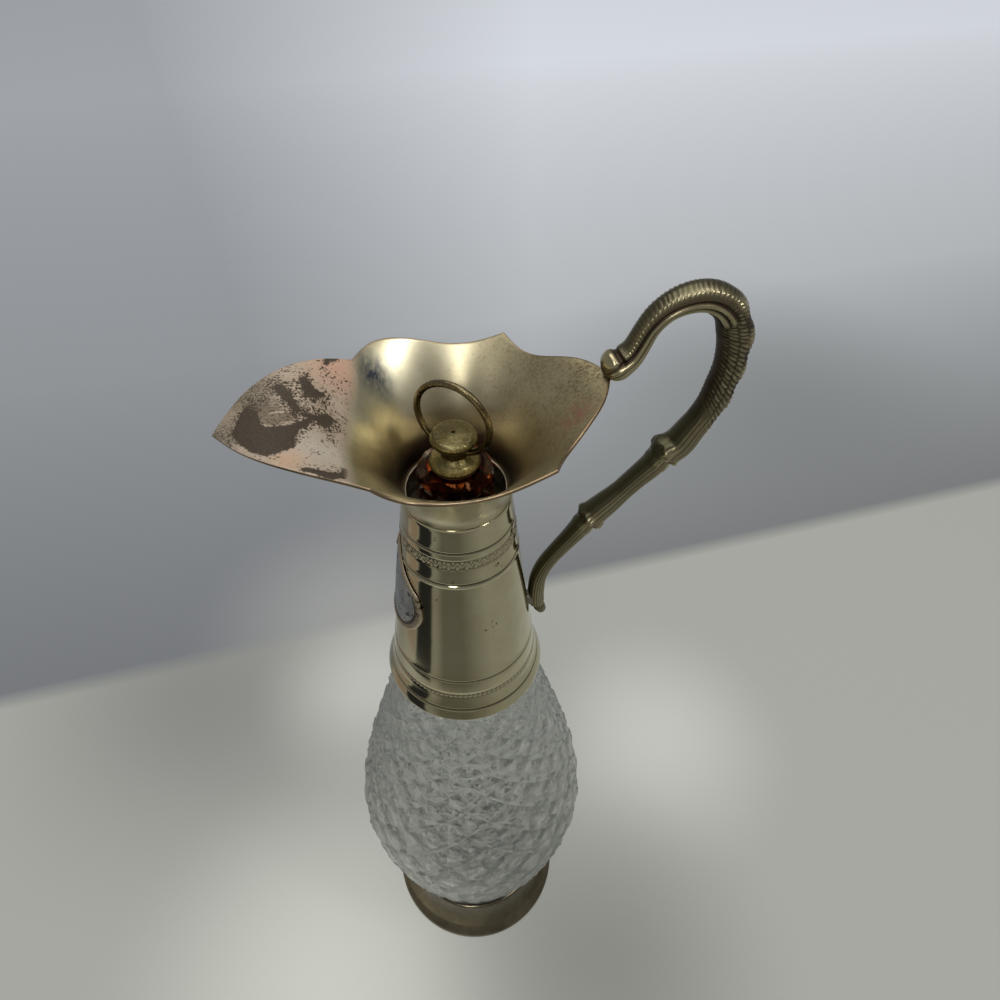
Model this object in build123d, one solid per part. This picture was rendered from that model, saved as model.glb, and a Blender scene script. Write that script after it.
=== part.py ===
from build123d import *

import os
from math import atan2, cos, degrees, hypot, pi, radians, sin, sqrt

# Claret jug: a cut glass bottle in a metal foot, with a plated collar, a leaf-shaped spout, a cast handle
# and a lift-out stopper that carries a pull ring.
# Millimetres, +Z up. The origin is on the bottle's axis, at the bottom of the foot.
# +X points from the bottle to the handle, and the spout's tip points to -X.

# Foot
foot_radius = 38.0
foot_edge = 2.5
foot_height = 20.0
foot_sheet = 1.4
foot_bead = 0.9
foot_seat_gap = 0.6
foot_plaster_floor = 7.5
foot_plaster_below_top = 1.5
foot_sweep = ((0.55, 0.22), (0.16, 0.58))

# Glass bottle, outside
glass_base_height = 9.0
glass_base_radius = 24.5
stem_radius = 28.4
stem_below_foot_top = 1.0
belly_radius = 45.0
belly_height = 98.0
shoulder_above_hem = 0.3
neck_radius = 11.4
neck_length = 12.0
lip_radius = 12.2
lip_depth = 4.0
mouth_height = 262.0

# Glass bottle, inside
glass_wall = 4.2
glass_floor = 10.0
floor_flat_radius = 11.4
floor_corner_inset = 5.9
floor_corner_rise = 5.0
floor_to_wall = 8.0
wall_to_bore = 8.0
bore_radius = 8.4
bore_depth = 26.0

# Cut belt of the bottle: two families of slanting cuts leave lozenges that rise to points
lozenges_round = 16
cut_depth = 1.2
cut_skin = 0.15
cut_above_foot = 1.6
cut_below_collar = 0.7
outline_samples = 2000

# Collar on the bottle's shoulder and neck
collar_above_mouth = 8.5
collar_length = 74.5
collar_hem = 2.7
collar_hem_flare = 1.7
collar_bottom_radius = 22.8
collar_top_radius = 13.95
collar_bow = 0.35
collar_sheet = 0.8
collar_glass_gap = 0.5
groove_drops = (7.9, 18.9, 58.5, 64.9)
groove_radius = 0.45
groove_offset = 0.16
collar_plaster_below_mouth = 5.0
collar_plaster_above_edge = 1.0

# Ferrule that joins the spout to the collar
throat_radius = 12.9
ferrule_sheet = 0.6
ferrule_above = 1.5
ferrule_below = 6.0

# Spout: a trumpet bell, trimmed to a leaf, two round lobes and a heel.
# The bell's points are a radius and a rise above the collar. Each stretch of its outline is given in shares
# of the stretch's chord: how far along it, and how far out from it.
spout_sheet = 0.8
spout_tip = 51.5
spout_notch = (-20.3, 22.0)
spout_cusp = (17.4, 25.1)
spout_heel = 36.6
bell_course = (
    (14.0, 5.5),
    (17.7, 12.5),
    (22.8, 19.5),
    (28.0, 25.1),
    (33.0, 28.7),
    (40.0, 30.5),
)
bell_edge = (54.0, 26.5)
leaf_shares = ((0.25, 0.0943), (0.5, 0.1283), (0.75, 0.0943))
lobe_shares = ((0.15, 0.1242), (0.34, 0.1533), (0.62, 0.0899), (0.85, 0.0291))
tail_shares = ((0.22, -0.0285), (0.48, 0.0158), (0.74, 0.0506))

# Plaque on the collar, below the spout
plaque_sheet = 0.9
plaque_gap = 0.15
plaque_rise = 29.0
plaque_height = 33.5
plaque_half_width = 13.4
plaque_shoulder = (0.86, 0.55)
plaque_slope = (0.44, 0.42)
plaque_widest = 0.31
plaque_bowl = (0.7, 0.06)
plaque_solder_radius = 3.0
plaque_solder_rises = (8.0, 18.0)

# Handle: its course is given in shares, along the line from its upper seat to its lower one, out from that
# line as a share of its reach, and its thickness as a share of its head's
handle_reach = 32.0
handle_head_radius = 3.8
handle_seat_above = 2.4
handle_seat_beyond = 1.6
handle_foot_rise = 23.5
handle_foot_radius = 2.5
handle_foot_gap = 0.2
end_steps = 4
handle_shares = (
    (-0.031, 0.072, 0.789),
    (-0.072, 0.107, 0.711),
    (-0.122, 0.134, 0.750),
    (-0.171, 0.206, 0.855),
    (-0.204, 0.326, 0.961),
    (-0.215, 0.489, 1.039),
    (-0.187, 0.672, 1.132),
    (-0.125, 0.799, 1.066),
    (-0.034, 0.880, 0.987),
    (0.053, 0.901, 1.000),
    (0.152, 0.877, 0.934),
    (0.238, 0.806, 0.908),
    (0.283, 0.753, 1.026),
    (0.314, 0.673, 1.079),
    (0.339, 0.648, 0.842),
    (0.411, 0.541, 0.776),
    (0.478, 0.436, 0.758),
    (0.534, 0.341, 0.882),
    (0.568, 0.278, 0.974),
    (0.600, 0.232, 0.750),
    (0.672, 0.147, 0.671),
    (0.750, 0.052, 0.632),
    (0.824, -0.021, 0.632),
    (0.894, -0.044, 0.632),
    (0.964, -0.022, 0.645),
    (1.023, 0.016, 0.658),
    (1.076, 0.096, 0.421),
)
handle_solder_film = 0.3
lower_solder_radius = 2.3

# Stopper
stopper_glass_radius = 9.6
stopper_glass_height = 17.8
stopper_glass_sides = 12
stopper_glass_bevel = 1.6
stopper_glass_foot_radius = 8.7
stud_radius = 2.0
stud_clearance = 0.15
knob_washer_height = 0.4
knob_washer_radius = 6.0
knob_flange_radius = 6.3
knob_flange_height = 0.8
knob_waist_radius = 3.4
knob_waist_height = 3.4
knob_skirt_shares = (0.45, 0.62)
knob_disc_radius = 5.65
knob_disc_height = 2.7
knob_height = 9.4
knob_crown = 0.4
knob_pit_radius = 0.5
knob_pit_depth = 0.6
stud_in_knob = 2.6
cork_length = 19.0
cork_radius = 8.0
cork_taper = 0.5
end_washer_height = 0.8
end_washer_radius = 6.0
end_nut_height = 2.4
end_nut_flats = 7.0
stud_below_nut = 0.6

# Pull ring, hinged in the knob's waist
ring_wire = 0.85
ring_radius = 9.55
ring_rise = 8.6
ring_bend = 1.2
ring_pin_gap = 1.2
ring_hole_clearance = 0.08
ring_angle = -40.0

# How far a cutting solid reaches past what it cuts, and the rounds of a search by halves
cut_margin = 8.0
search_rounds = 40

# Sizes that follow from the ones above
collar_top = mouth_height + collar_above_mouth
collar_bottom = collar_top - collar_length
hem_top = collar_bottom + collar_hem
neck_height = mouth_height - neck_length
plaque_bottom = collar_bottom + plaque_rise
handle_foot_height = collar_bottom + handle_foot_rise
stopper_top = mouth_height + stopper_glass_height
knob_base = stopper_top + knob_washer_height
knob_top = knob_base + knob_height
disc_base = knob_top - knob_crown - knob_disc_height
hinge_height = disc_base - knob_waist_height / 2


def at(radius, height):
    """A point in the XZ plane."""
    return (radius, 0, height)


def turned(*edges):
    """A solid of revolution about the bottle's axis, from a closed outline in the XZ plane."""
    return revolve(make_face(list(edges)), Axis.Z)


def turned_polygon(*points):
    return turned(Polyline(*[at(*p) for p in points], close=True))


def beside(curve, distance, count):
    """Points at a distance to the right of a curve in the XZ plane."""
    points = []
    for step in range(count + 1):
        spot = curve @ (step / count)
        along = curve % (step / count)
        points.append(at(spot.X + along.Z * distance, spot.Z - along.X * distance))
    return points


def collar_radius(height):
    """Outer radius of the collar: a straight taper, drawn in a little at the middle."""
    part = (collar_top - height) / (collar_top - hem_top)
    straight = collar_top_radius + (collar_bottom_radius - collar_top_radius) * part
    return straight - 4 * collar_bow * part * (1 - part)


def between(low, high, part):
    return low + (high - low) * part


# Glass bottle: its outline's points are shares of the way up and of the way out
shoulder_radius = collar_bottom_radius - collar_sheet - collar_glass_gap
shoulder_height = hem_top + shoulder_above_hem
stem_height = foot_height - stem_below_foot_top
lower_shares = ((0.27, 0.34), (0.52, 0.64), (0.77, 0.89))
upper_shares = ((0.22, 0.864), (0.42, 0.66), (0.61, 0.426), (0.81, 0.20))
neck_shares = ((0.40, 0.45), (0.75, 0.12))


def bottle_course(inset):
    """Outline of the bottle from the foot to the neck, moved inwards by a wall."""
    points = [(stem_radius, stem_height)]
    for part, swell in lower_shares:
        height = between(stem_height, belly_height, part)
        points.append((between(stem_radius, belly_radius, swell), height))
    points.append((belly_radius, belly_height))
    for part, swell in upper_shares:
        height = between(belly_height, shoulder_height, part)
        points.append((between(shoulder_radius, belly_radius, swell), height))
    points.append((shoulder_radius, shoulder_height))
    for part, swell in neck_shares:
        height = between(shoulder_height, neck_height, part)
        points.append((between(neck_radius, shoulder_radius, swell), height))
    return [(radius - inset, height) for radius, height in points]


def bottle_side():
    return Spline(
        at(glass_base_radius, glass_base_height),
        *[at(*p) for p in bottle_course(0)],
        at(neck_radius, neck_height),
    )


def bottle_solid():
    """The bottle without its hollow and its cuts."""
    side = bottle_side()
    lip_base = mouth_height - lip_depth
    top = Polyline(
        at(neck_radius, neck_height),
        at(neck_radius, lip_base - (lip_radius - neck_radius)),
        at(lip_radius, lip_base),
        at(lip_radius, mouth_height),
        at(0, mouth_height),
        at(0, glass_base_height),
        at(glass_base_radius, glass_base_height),
    )
    return turned(side, *top.edges())


def bottle_hollow():
    """The space for the drink: a body, and a straight bore for the stopper's plug."""
    floor = glass_base_height + glass_floor
    bore_base = mouth_height - bore_depth
    low, high = floor + floor_to_wall, bore_base - wall_to_bore
    course = [p for p in bottle_course(glass_wall) if low < p[1] < high]
    side = Spline(
        at(floor_flat_radius, floor),
        at(stem_radius - floor_corner_inset, floor + floor_corner_rise),
        *[at(*p) for p in course],
        at(bore_radius, bore_base),
    )
    rest = Polyline(
        at(bore_radius, bore_base),
        at(bore_radius, mouth_height),
        at(0, mouth_height),
        at(0, floor),
        at(floor_flat_radius, floor),
    )
    return turned(side, *rest.edges())


def cut_rows():
    """Radius and height of each row of corners. Rows lie as far apart as the corners in a row, so that the
    lozenges are as high as they are wide."""
    low, high = foot_height + cut_above_foot, collar_bottom - cut_below_collar
    side = bottle_side()
    spots = [side @ (step / outline_samples) for step in range(outline_samples + 1)]
    spots = [spot for spot in spots if low <= spot.Z <= high]
    travelled = [0.0]
    for before, after in zip(spots, spots[1:]):
        apart = pi * after.X / lozenges_round
        travelled.append(travelled[-1] + (after - before).length / apart)
    rows = round(travelled[-1])
    chosen = []
    for row in range(rows + 1):
        wanted = travelled[-1] * row / rows
        number = min(range(len(spots)), key=lambda n: abs(travelled[n] - wanted))
        chosen.append((spots[number].X, spots[number].Z))
    return chosen


def cut_belt():
    """Glass between the foot and the collar. Where two cuts cross, a corner lies deep, and the middle of each
    lozenge lies high. Flat facets join them, and a crease runs along each cut."""
    rows = cut_rows()
    corners = []
    for row, (radius, height) in enumerate(rows):
        ring = []
        for step in range(2 * lozenges_round):
            crossing = (row + step) % 2 == 0 and 0 < row < len(rows) - 1
            reach = radius - cut_skin - (cut_depth if crossing else 0)
            turn = pi * step / lozenges_round
            ring.append((reach * cos(turn), reach * sin(turn), height))
        corners.append(ring)
    facets = [corners[0], corners[-1]]
    for row in range(len(rows) - 1):
        for step in range(2 * lozenges_round):
            after = (step + 1) % (2 * lozenges_round)
            a, b = corners[row][step], corners[row][after]
            d, c = corners[row + 1][step], corners[row + 1][after]
            facets += [(a, b, c), (a, c, d)] if (row + step) % 2 == 0 else [(a, b, d), (b, c, d)]
    return Solid(Shell([Face(Wire.make_polygon(facet)) for facet in facets]))


def cut_bottle():
    """The bottle with its cuts and without its hollow."""
    rows = cut_rows()
    low, high = rows[0][1], rows[-1][1]
    whole = bottle_solid()
    below = whole & slab(glass_base_height, low, foot_radius)
    above = whole & slab(high, mouth_height, foot_radius)
    return below + cut_belt() + above


# Foot
def foot_profile():
    """Outer side of the foot, from its upright edge up to the bead round the glass."""
    lip = stem_radius + foot_seat_gap + foot_sheet
    sweep_points = []
    for out, up in foot_sweep:
        sweep_points.append(at(between(lip, foot_radius, out), between(foot_edge, foot_height, up)))
    return Spline(
        at(foot_radius, foot_edge),
        *sweep_points,
        at(lip, foot_height),
        tangents=[(-1, 0, 0.45), (-0.1, 0, 1)],
    )


def foot_solid():
    """The foot filled in, from which its hollow and its plaster are cut."""
    profile = foot_profile()
    rest = Polyline(
        profile @ 1,
        at(0, foot_height),
        at(0, 0),
        at(foot_radius, 0),
        profile @ 0,
    )
    return turned(profile, *rest.edges())


def foot_hollow():
    inner = beside(foot_profile(), -foot_sheet, 8)
    inner[0] = at(foot_radius - foot_sheet, foot_edge * 0.6)
    inner[-1] = at(stem_radius + foot_seat_gap, foot_height)
    side = Spline(*inner)
    rest = Polyline(
        inner[-1],
        at(0, foot_height),
        at(0, 0),
        at(foot_radius - foot_sheet, 0),
        inner[0],
    )
    return turned(side, *rest.edges())


def bead(radius, height, thickness):
    """A ring of round wire about the bottle's axis."""
    return Location((0, 0, height)) * Torus(radius, thickness)


# Collar
def collar_side(inset):
    """Side of the collar between its hem and its top, moved inwards."""
    heights = [between(hem_top, collar_top, part / 4) for part in range(5)]
    return Spline(*[at(collar_radius(z) - inset, z) for z in heights])


def collar_solid(inset):
    side = collar_side(inset)
    flare = collar_bottom_radius + collar_hem_flare - inset
    rest = Polyline(
        side @ 1,
        at(0, collar_top),
        at(0, collar_bottom),
        at(flare, collar_bottom),
        side @ 0,
    )
    return turned(side, *rest.edges())


def slab(low, high, radius):
    """A disc between two heights, wider than what it is set against."""
    return Location((0, 0, (low + high) / 2)) * Cylinder(radius, high - low)


# Spout
def bell_side():
    """Upper side of the bell, from the throat to beyond the spout's tip."""
    throat_top = collar_top + ferrule_above
    return Spline(
        at(throat_radius, throat_top),
        *[at(radius, collar_top + rise) for radius, rise in bell_course],
        at(bell_edge[0], collar_top + bell_edge[1]),
        tangents=[(0, 0, 1), (1, 0, -0.35)],
    )


def bell():
    """The spun bell above its throat."""
    upper = bell_side()
    lower = Spline(*beside(upper, spout_sheet, 16))
    return turned(upper, lower, Line(upper @ 0, lower @ 0), Line(upper @ 1, lower @ 1))


def throat():
    """The straight stretch of the spout that sits on the collar's top."""
    low, high = collar_top, collar_top + ferrule_above
    outside = throat_radius + spout_sheet
    return slab(low, high, outside) - slab(low, high, throat_radius)


def bowed(start, end, shares):
    """A curve from start to end through points along its chord, each set off to the left of it."""
    start, end = Vector(*start), Vector(*end)
    chord = end - start
    left = Vector(-chord.Y, chord.X)
    middle = [start + chord * part + left * bow for part, bow in shares]
    return Spline(start, *middle, end)


def spout_plan():
    """The outline that the bell is trimmed to, seen from above."""
    tip = (-spout_tip, 0)
    heel = (spout_heel, 0)
    leaf = bowed(tip, spout_notch, leaf_shares)
    lobe = bowed(spout_notch, spout_cusp, lobe_shares)
    tail = bowed(spout_cusp, heel, tail_shares)
    half = [leaf, lobe, tail]
    other = [edge.mirror(Plane.XZ) for edge in half]
    plan = make_face(half + other)
    highest = max(rise for radius, rise in bell_course)
    height = spout_sheet + highest + cut_margin
    return Location((0, 0, collar_top - spout_sheet)) * extrude(plan, height)


def spout_sheet_solid():
    return (bell() & spout_plan()) + throat()


# Plaque
def plaque_prism():
    """The shield's outline, seen from the spout's side and run through the collar's near half."""
    shoulder_y = plaque_half_width * plaque_shoulder[0]
    shoulder_z = plaque_bottom + plaque_height * plaque_shoulder[1]
    widest = (plaque_half_width, plaque_bottom + plaque_height * plaque_widest)
    top = (0, plaque_bottom + plaque_height)
    bottom = (0, plaque_bottom)
    slope = ThreePointArc(
        top,
        (shoulder_y * plaque_slope[0], between(shoulder_z, top[1], plaque_slope[1])),
        (shoulder_y, shoulder_z),
    )
    bowl = Spline(
        (shoulder_y, shoulder_z),
        widest,
        (plaque_half_width * plaque_bowl[0], plaque_bottom + plaque_height * plaque_bowl[1]),
        bottom,
        tangents=[(0.4, -1, 0), (-1, 0, 0)],
    )
    half = [slope, bowl]
    other = [edge.mirror(Plane.YZ) for edge in half]
    plan = Plane.YZ * make_face(half + other)
    return extrude(plan, -collar_bottom_radius - cut_margin)


def collar_skin(inner_gap, outer_gap):
    """A skin round the collar between two distances from it."""
    return collar_solid(-outer_gap) - collar_solid(-inner_gap)


# Handle
def handle_seats():
    upper = Vector(spout_heel + handle_seat_beyond, 0, heel_height() + handle_seat_above)
    foot_x = collar_radius(handle_foot_height) + handle_foot_gap + handle_foot_radius
    lower = Vector(foot_x, 0, handle_foot_height)
    return upper, lower


def heel_part():
    """Where along the bell's side the heel lies."""
    side = bell_side()
    low, high = 0.0, 1.0
    for _ in range(search_rounds):
        middle = (low + high) / 2
        if (side @ middle).X < spout_heel:
            low = middle
        else:
            high = middle
    return low


def heel_height():
    """Height of the bell's upper side at the heel."""
    return (bell_side() @ heel_part()).Z


def heel_slot():
    """The slot in the handle's head that takes the heel, with room for a film of solder."""
    slope = bell_side() % heel_part()
    tilt = degrees(atan2(slope.Z, slope.X))
    height = spout_sheet + 2 * handle_solder_film
    ends = (Align.MAX, Align.CENTER, Align.CENTER)
    slot = Box(4 * handle_head_radius, 4 * handle_head_radius, height, align=ends)
    place = (spout_heel + handle_solder_film, 0, heel_height() - spout_sheet / 2)
    return Location(place, (0, -tilt, 0)) * slot


def handle_point(along, across):
    upper, lower = handle_seats()
    line = lower - upper
    out = Vector(-line.Z, 0, line.X).normalized()
    return upper + line * along + out * across * handle_reach


def handle_bar():
    """The handle's round bar, lofted through circles set along its course, with rounded ends."""
    spots = [handle_point(0, 0)]
    radii = [handle_head_radius]
    for along, across, thickness in handle_shares:
        spots.append(handle_point(along, across))
        radii.append(handle_head_radius * thickness)
    course = Spline(*spots)
    turns = [radians(step * 90 / end_steps) for step in range(end_steps)]
    circles = []
    for turn in reversed(turns):
        spot = spots[0] - (course % 0) * radii[0] * sin(turn)
        circles.append(bar_circle(spot, course % 0, radii[0] * cos(turn)))
    for spot, radius in zip(spots[1:], radii[1:]):
        circles.append(bar_circle(spot, course % course.param_at_point(spot), radius))
    for turn in turns[1:]:
        spot = spots[-1] + (course % 1) * radii[-1] * sin(turn)
        circles.append(bar_circle(spot, course % 1, radii[-1] * cos(turn)))
    return loft(circles)


def bar_circle(spot, direction, radius):
    return Plane(origin=spot, x_dir=(0, 1, 0), z_dir=direction) * Circle(radius)


# Stopper
def knob_solid():
    """Brass knob: a flange, a domed skirt, a waist and a rounded disc."""
    flange_top = knob_base + knob_flange_height
    waist_low = disc_base - knob_waist_height
    out, up = knob_skirt_shares
    skirt = Spline(
        at(knob_flange_radius, flange_top),
        at(between(knob_waist_radius, knob_flange_radius, out), between(flange_top, waist_low, up)),
        at(knob_waist_radius, waist_low),
        tangents=[(-0.3, 0, 1), (0, 0, 1)],
    )
    bead_radius = knob_disc_height / 2
    rim_centre = knob_disc_radius - bead_radius
    rim = ThreePointArc(
        at(rim_centre, disc_base),
        at(knob_disc_radius, disc_base + bead_radius),
        at(rim_centre, disc_base + knob_disc_height),
    )
    crown = Spline(
        at(rim_centre, disc_base + knob_disc_height),
        at(knob_pit_radius, knob_top),
        tangents=[(-1, 0, 0), (-1, 0, 0)],
    )
    waist = Polyline(
        at(knob_waist_radius, waist_low),
        at(knob_waist_radius, disc_base),
        at(rim_centre, disc_base),
    )
    base = Polyline(
        at(knob_pit_radius, knob_top),
        at(knob_pit_radius, knob_top - knob_pit_depth),
        at(0, knob_top - knob_pit_depth),
        at(0, knob_base),
        at(knob_flange_radius, knob_base),
        at(knob_flange_radius, flange_top),
    )
    return turned(skirt, *waist.edges(), rim, crown, *base.edges())


def rod(low, high, radius):
    return Location((0, 0, (low + high) / 2)) * Cylinder(radius, high - low)


def cross_hole():
    """The hole through the waist for the ring's two pins."""
    reach = 2 * knob_disc_radius
    hole = Cylinder(ring_wire + ring_hole_clearance, reach, rotation=(0, 90, 0))
    return Location((0, 0, hinge_height), (0, 0, ring_angle)) * hole


def pull_ring():
    """Round wire: an open circle whose ends bend into two pins on the hinge's axis."""
    bend_x = sqrt((ring_radius - ring_bend) ** 2 - (ring_rise - ring_bend) ** 2)
    touch = ring_radius / (ring_radius - ring_bend)
    meet_x = bend_x * touch
    meet_z = ring_rise - (ring_rise - ring_bend) * touch
    turn = hypot(meet_x - bend_x, meet_z - ring_bend)
    lean_x = (meet_x - bend_x) / turn
    lean_z = (meet_z - ring_bend) / turn - 1
    length = hypot(lean_x, lean_z)
    middle = at(bend_x + ring_bend * lean_x / length, ring_bend + ring_bend * lean_z / length)
    pin_end = ring_pin_gap / 2
    pin = Line(at(pin_end, 0), at(bend_x, 0))
    bend = ThreePointArc(at(bend_x, 0), middle, at(meet_x, meet_z))
    hoop = ThreePointArc(at(meet_x, meet_z), at(0, ring_rise + ring_radius), at(-meet_x, meet_z))
    half = [pin, bend]
    other = [edge.mirror(Plane.YZ) for edge in half]
    course = Wire(half + [hoop] + other)
    section = Plane(origin=at(pin_end, 0), z_dir=(1, 0, 0)) * Circle(ring_wire)
    wire = sweep(section, course)
    return Location((0, 0, hinge_height), (0, 0, ring_angle)) * wire


def stopper_glass():
    """Amber glass body with flat facets and bevelled ends, bored for the stud."""
    prism = extrude(RegularPolygon(stopper_glass_radius, stopper_glass_sides), stopper_glass_height)
    prism = Location((0, 0, mouth_height)) * prism
    waist = stopper_glass_radius - stopper_glass_bevel
    shape = turned_polygon(
        (0, mouth_height),
        (stopper_glass_foot_radius, mouth_height),
        (stopper_glass_radius, mouth_height + stopper_glass_bevel),
        (stopper_glass_radius, stopper_top - stopper_glass_bevel),
        (waist, stopper_top),
        (0, stopper_top),
    )
    bore = rod(mouth_height, stopper_top, stud_radius + stud_clearance)
    return (prism & shape) - bore


def stopper_plug(low):
    """The tapered cork that closes the bottle's bore."""
    plug = turned_polygon(
        (0, mouth_height),
        (cork_radius, mouth_height),
        (cork_radius - cork_taper, low),
        (0, low),
    )
    return plug - rod(low, mouth_height, stud_radius)


def build():
    parts = {}
    bottle = bottle_solid()
    parts["glass_bottle"] = cut_bottle() - bottle_hollow()
    foot = foot_solid() - foot_hollow()
    lip = stem_radius + foot_seat_gap + foot_sheet / 2
    parts["foot_ring"] = foot + bead(lip, foot_height, foot_bead)
    plaster_top = foot_height - foot_plaster_below_top
    bed = foot_solid() & slab(foot_plaster_floor, plaster_top, foot_radius)
    parts["foot_plaster"] = bed - parts["foot_ring"] - bottle

    shell = collar_solid(0) - collar_solid(collar_sheet)
    top_plate = slab(collar_top - collar_sheet, collar_top, collar_top_radius) & collar_solid(0)
    sleeve = shell + top_plate - slab(collar_bottom, collar_top + cut_margin, throat_radius)
    for drop in groove_drops:
        height = collar_top - drop
        sleeve -= bead(collar_radius(height) + groove_offset, height, groove_radius)
    parts["collar_sleeve"] = sleeve
    plaster_low = collar_bottom + collar_plaster_above_edge
    plaster_high = mouth_height - collar_plaster_below_mouth
    plaster = collar_solid(collar_sheet) & slab(plaster_low, plaster_high, foot_radius)
    parts["collar_plaster"] = plaster - bottle

    ferrule_low = collar_top - ferrule_below
    ferrule_high = collar_top + ferrule_above
    ferrule = slab(ferrule_low, ferrule_high, throat_radius)
    ferrule -= slab(ferrule_low, ferrule_high, throat_radius - ferrule_sheet)
    parts["neck_ferrule"] = ferrule

    spout = spout_sheet_solid()
    parts["spout"] = spout

    outline = plaque_prism()
    parts["plaque"] = outline & collar_skin(plaque_gap, plaque_gap + plaque_sheet)
    pads = collar_skin(0, plaque_gap)
    spots = Part()
    for rise in plaque_solder_rises:
        pad = Cylinder(plaque_solder_radius, 2 * collar_bottom_radius, rotation=(0, 90, 0))
        spots += Location((-collar_bottom_radius, 0, plaque_bottom + rise)) * pad
    parts["plaque_solder"] = (pads & spots) - sleeve

    handle = handle_bar()
    slot = heel_slot()
    parts["upper_handle_solder"] = (handle & slot) - spout
    handle = handle - slot - collar_solid(0)
    upper_seat, lower_seat = handle_seats()
    pad_length = 2 * handle_foot_radius
    pad = Cylinder(lower_solder_radius, pad_length, rotation=(0, 90, 0))
    pad = Location((lower_seat.X - pad_length / 2, 0, handle_foot_height)) * pad
    parts["lower_handle_solder"] = pad - collar_solid(0) - handle
    parts["handle"] = handle

    cork_low = mouth_height - cork_length
    washer_low = cork_low - end_washer_height
    nut_low = washer_low - end_nut_height
    stud_high = knob_base + stud_in_knob
    parts["stopper_glass"] = stopper_glass()
    washer = rod(stopper_top, knob_base, knob_washer_radius)
    parts["knob_washer"] = washer - rod(stopper_top, knob_base, stud_radius)
    knob = knob_solid() - rod(knob_base, stud_high, stud_radius) - cross_hole()
    parts["stopper_knob"] = knob
    parts["stopper_cork"] = stopper_plug(cork_low)
    end_washer = rod(washer_low, cork_low, end_washer_radius)
    parts["end_washer"] = end_washer - rod(washer_low, cork_low, stud_radius)
    nut = extrude(RegularPolygon(end_nut_flats / 2, 6, major_radius=False), end_nut_height)
    nut = Location((0, 0, nut_low)) * nut
    parts["end_nut"] = nut - rod(nut_low, washer_low, stud_radius)
    parts["stopper_stud"] = rod(nut_low - stud_below_nut, stud_high, stud_radius)
    parts["pull_ring"] = pull_ring()
    return parts


os.makedirs("parts", exist_ok=True)
for name, shape in build().items():
    export_step(shape, f"parts/{name}.step")
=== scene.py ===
# %% [markdown]
# # Dressing a cut glass claret jug
# The solids of the jug come from a CAD model that is loaded as a fixed frame. Each visible piece is then
# made again as a surface that is worked out with numpy, with the cuts, scales and engraved lines that the
# plain solids leave out, and gets a finish built from shader nodes. Sizes are in millimetres until a mesh
# is made.

import bpy
import numpy as np
from mathutils import Matrix, Vector


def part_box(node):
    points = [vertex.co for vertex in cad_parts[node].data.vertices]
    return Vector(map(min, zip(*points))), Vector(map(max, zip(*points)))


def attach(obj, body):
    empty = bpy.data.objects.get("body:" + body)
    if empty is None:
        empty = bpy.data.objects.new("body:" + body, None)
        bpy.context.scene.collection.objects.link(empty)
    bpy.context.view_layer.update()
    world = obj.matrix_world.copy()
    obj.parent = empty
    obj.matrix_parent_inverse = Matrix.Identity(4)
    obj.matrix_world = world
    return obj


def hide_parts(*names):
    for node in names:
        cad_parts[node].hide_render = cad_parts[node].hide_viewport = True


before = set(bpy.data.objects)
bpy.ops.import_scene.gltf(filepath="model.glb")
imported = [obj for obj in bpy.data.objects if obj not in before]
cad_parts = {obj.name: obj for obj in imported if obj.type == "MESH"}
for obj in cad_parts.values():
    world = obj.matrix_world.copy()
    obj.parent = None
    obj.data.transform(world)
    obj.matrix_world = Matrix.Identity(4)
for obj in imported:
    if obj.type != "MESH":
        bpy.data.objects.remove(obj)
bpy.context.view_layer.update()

MM = 0.001


def cad_size(node):
    """Lowest and highest corner of a CAD node in millimetres."""
    low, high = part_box(node)
    return np.array(low) / MM, np.array(high) / MM


# %% [markdown]
# ## Tools for every curve
# A profile or a path is given by a few points. A natural cubic spline carries a smooth curve through them:
# it has no bend at its two ends, and it could also be drawn by hand with Bezier handles. Worked out here, it
# can be read at any place and spaced evenly. Short helpers give what the pieces share: a soft step, a bell
# curve for ridges and dips, an arc for beads, and points turned about the upright axis.


# %% Splines and short helpers
def spline(knots, values, where):
    """Cubic pieces between knots. Their second derivatives solve one row of equations for each inner knot,
    which says that the slope doesn't jump there."""
    values = np.asarray(values, float).reshape(len(knots), -1)
    step = np.diff(knots)
    inner = np.arange(1, len(knots) - 1)
    system = np.eye(len(knots))
    system[inner, inner - 1] = step[:-1]
    system[inner, inner] = 2 * (step[:-1] + step[1:])
    system[inner, inner + 1] = step[1:]
    slope = np.diff(values, axis=0) / step[:, None]
    bend = np.zeros_like(values)
    bend[inner] = 6 * np.diff(slope, axis=0)
    bend = np.linalg.solve(system, bend)
    where = np.asarray(where, float)
    k = np.clip(np.searchsorted(knots, where) - 1, 0, len(knots) - 2)
    width = step[k][:, None]
    after = ((where - np.asarray(knots)[k]) / step[k])[:, None]
    before = 1 - after
    curve = (before**3 - before) * bend[k] + (after**3 - after) * bend[k + 1]
    return before * values[k] + after * values[k + 1] + curve * width**2 / 6


def lengths(points):
    """Distance along a row of points from its first one to each."""
    steps = np.linalg.norm(np.diff(points, axis=0), axis=1)
    return np.concatenate([[0], np.cumsum(steps)])


per_span = 40


def dense_curve(points, pieces=per_span):
    """A spline through points, with the distance between them as its knots, read finely."""
    points = np.asarray(points, float)
    knots = lengths(points)
    return spline(knots, points, np.linspace(0, knots[-1], pieces * (len(points) - 1) + 1))


def even(points, count):
    """The same curve with its points spaced evenly along its length."""
    along = lengths(points)
    where = np.linspace(0, along[-1], count)
    return np.stack([np.interp(where, along, column) for column in points.T], axis=1)


def smooth_step(low, high, value):
    """0 below low, 1 above high, and 3t^2 - 2t^3 between them."""
    t = np.clip((value - low) / (high - low), 0, 1)
    return t * t * (3 - 2 * t)


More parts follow.
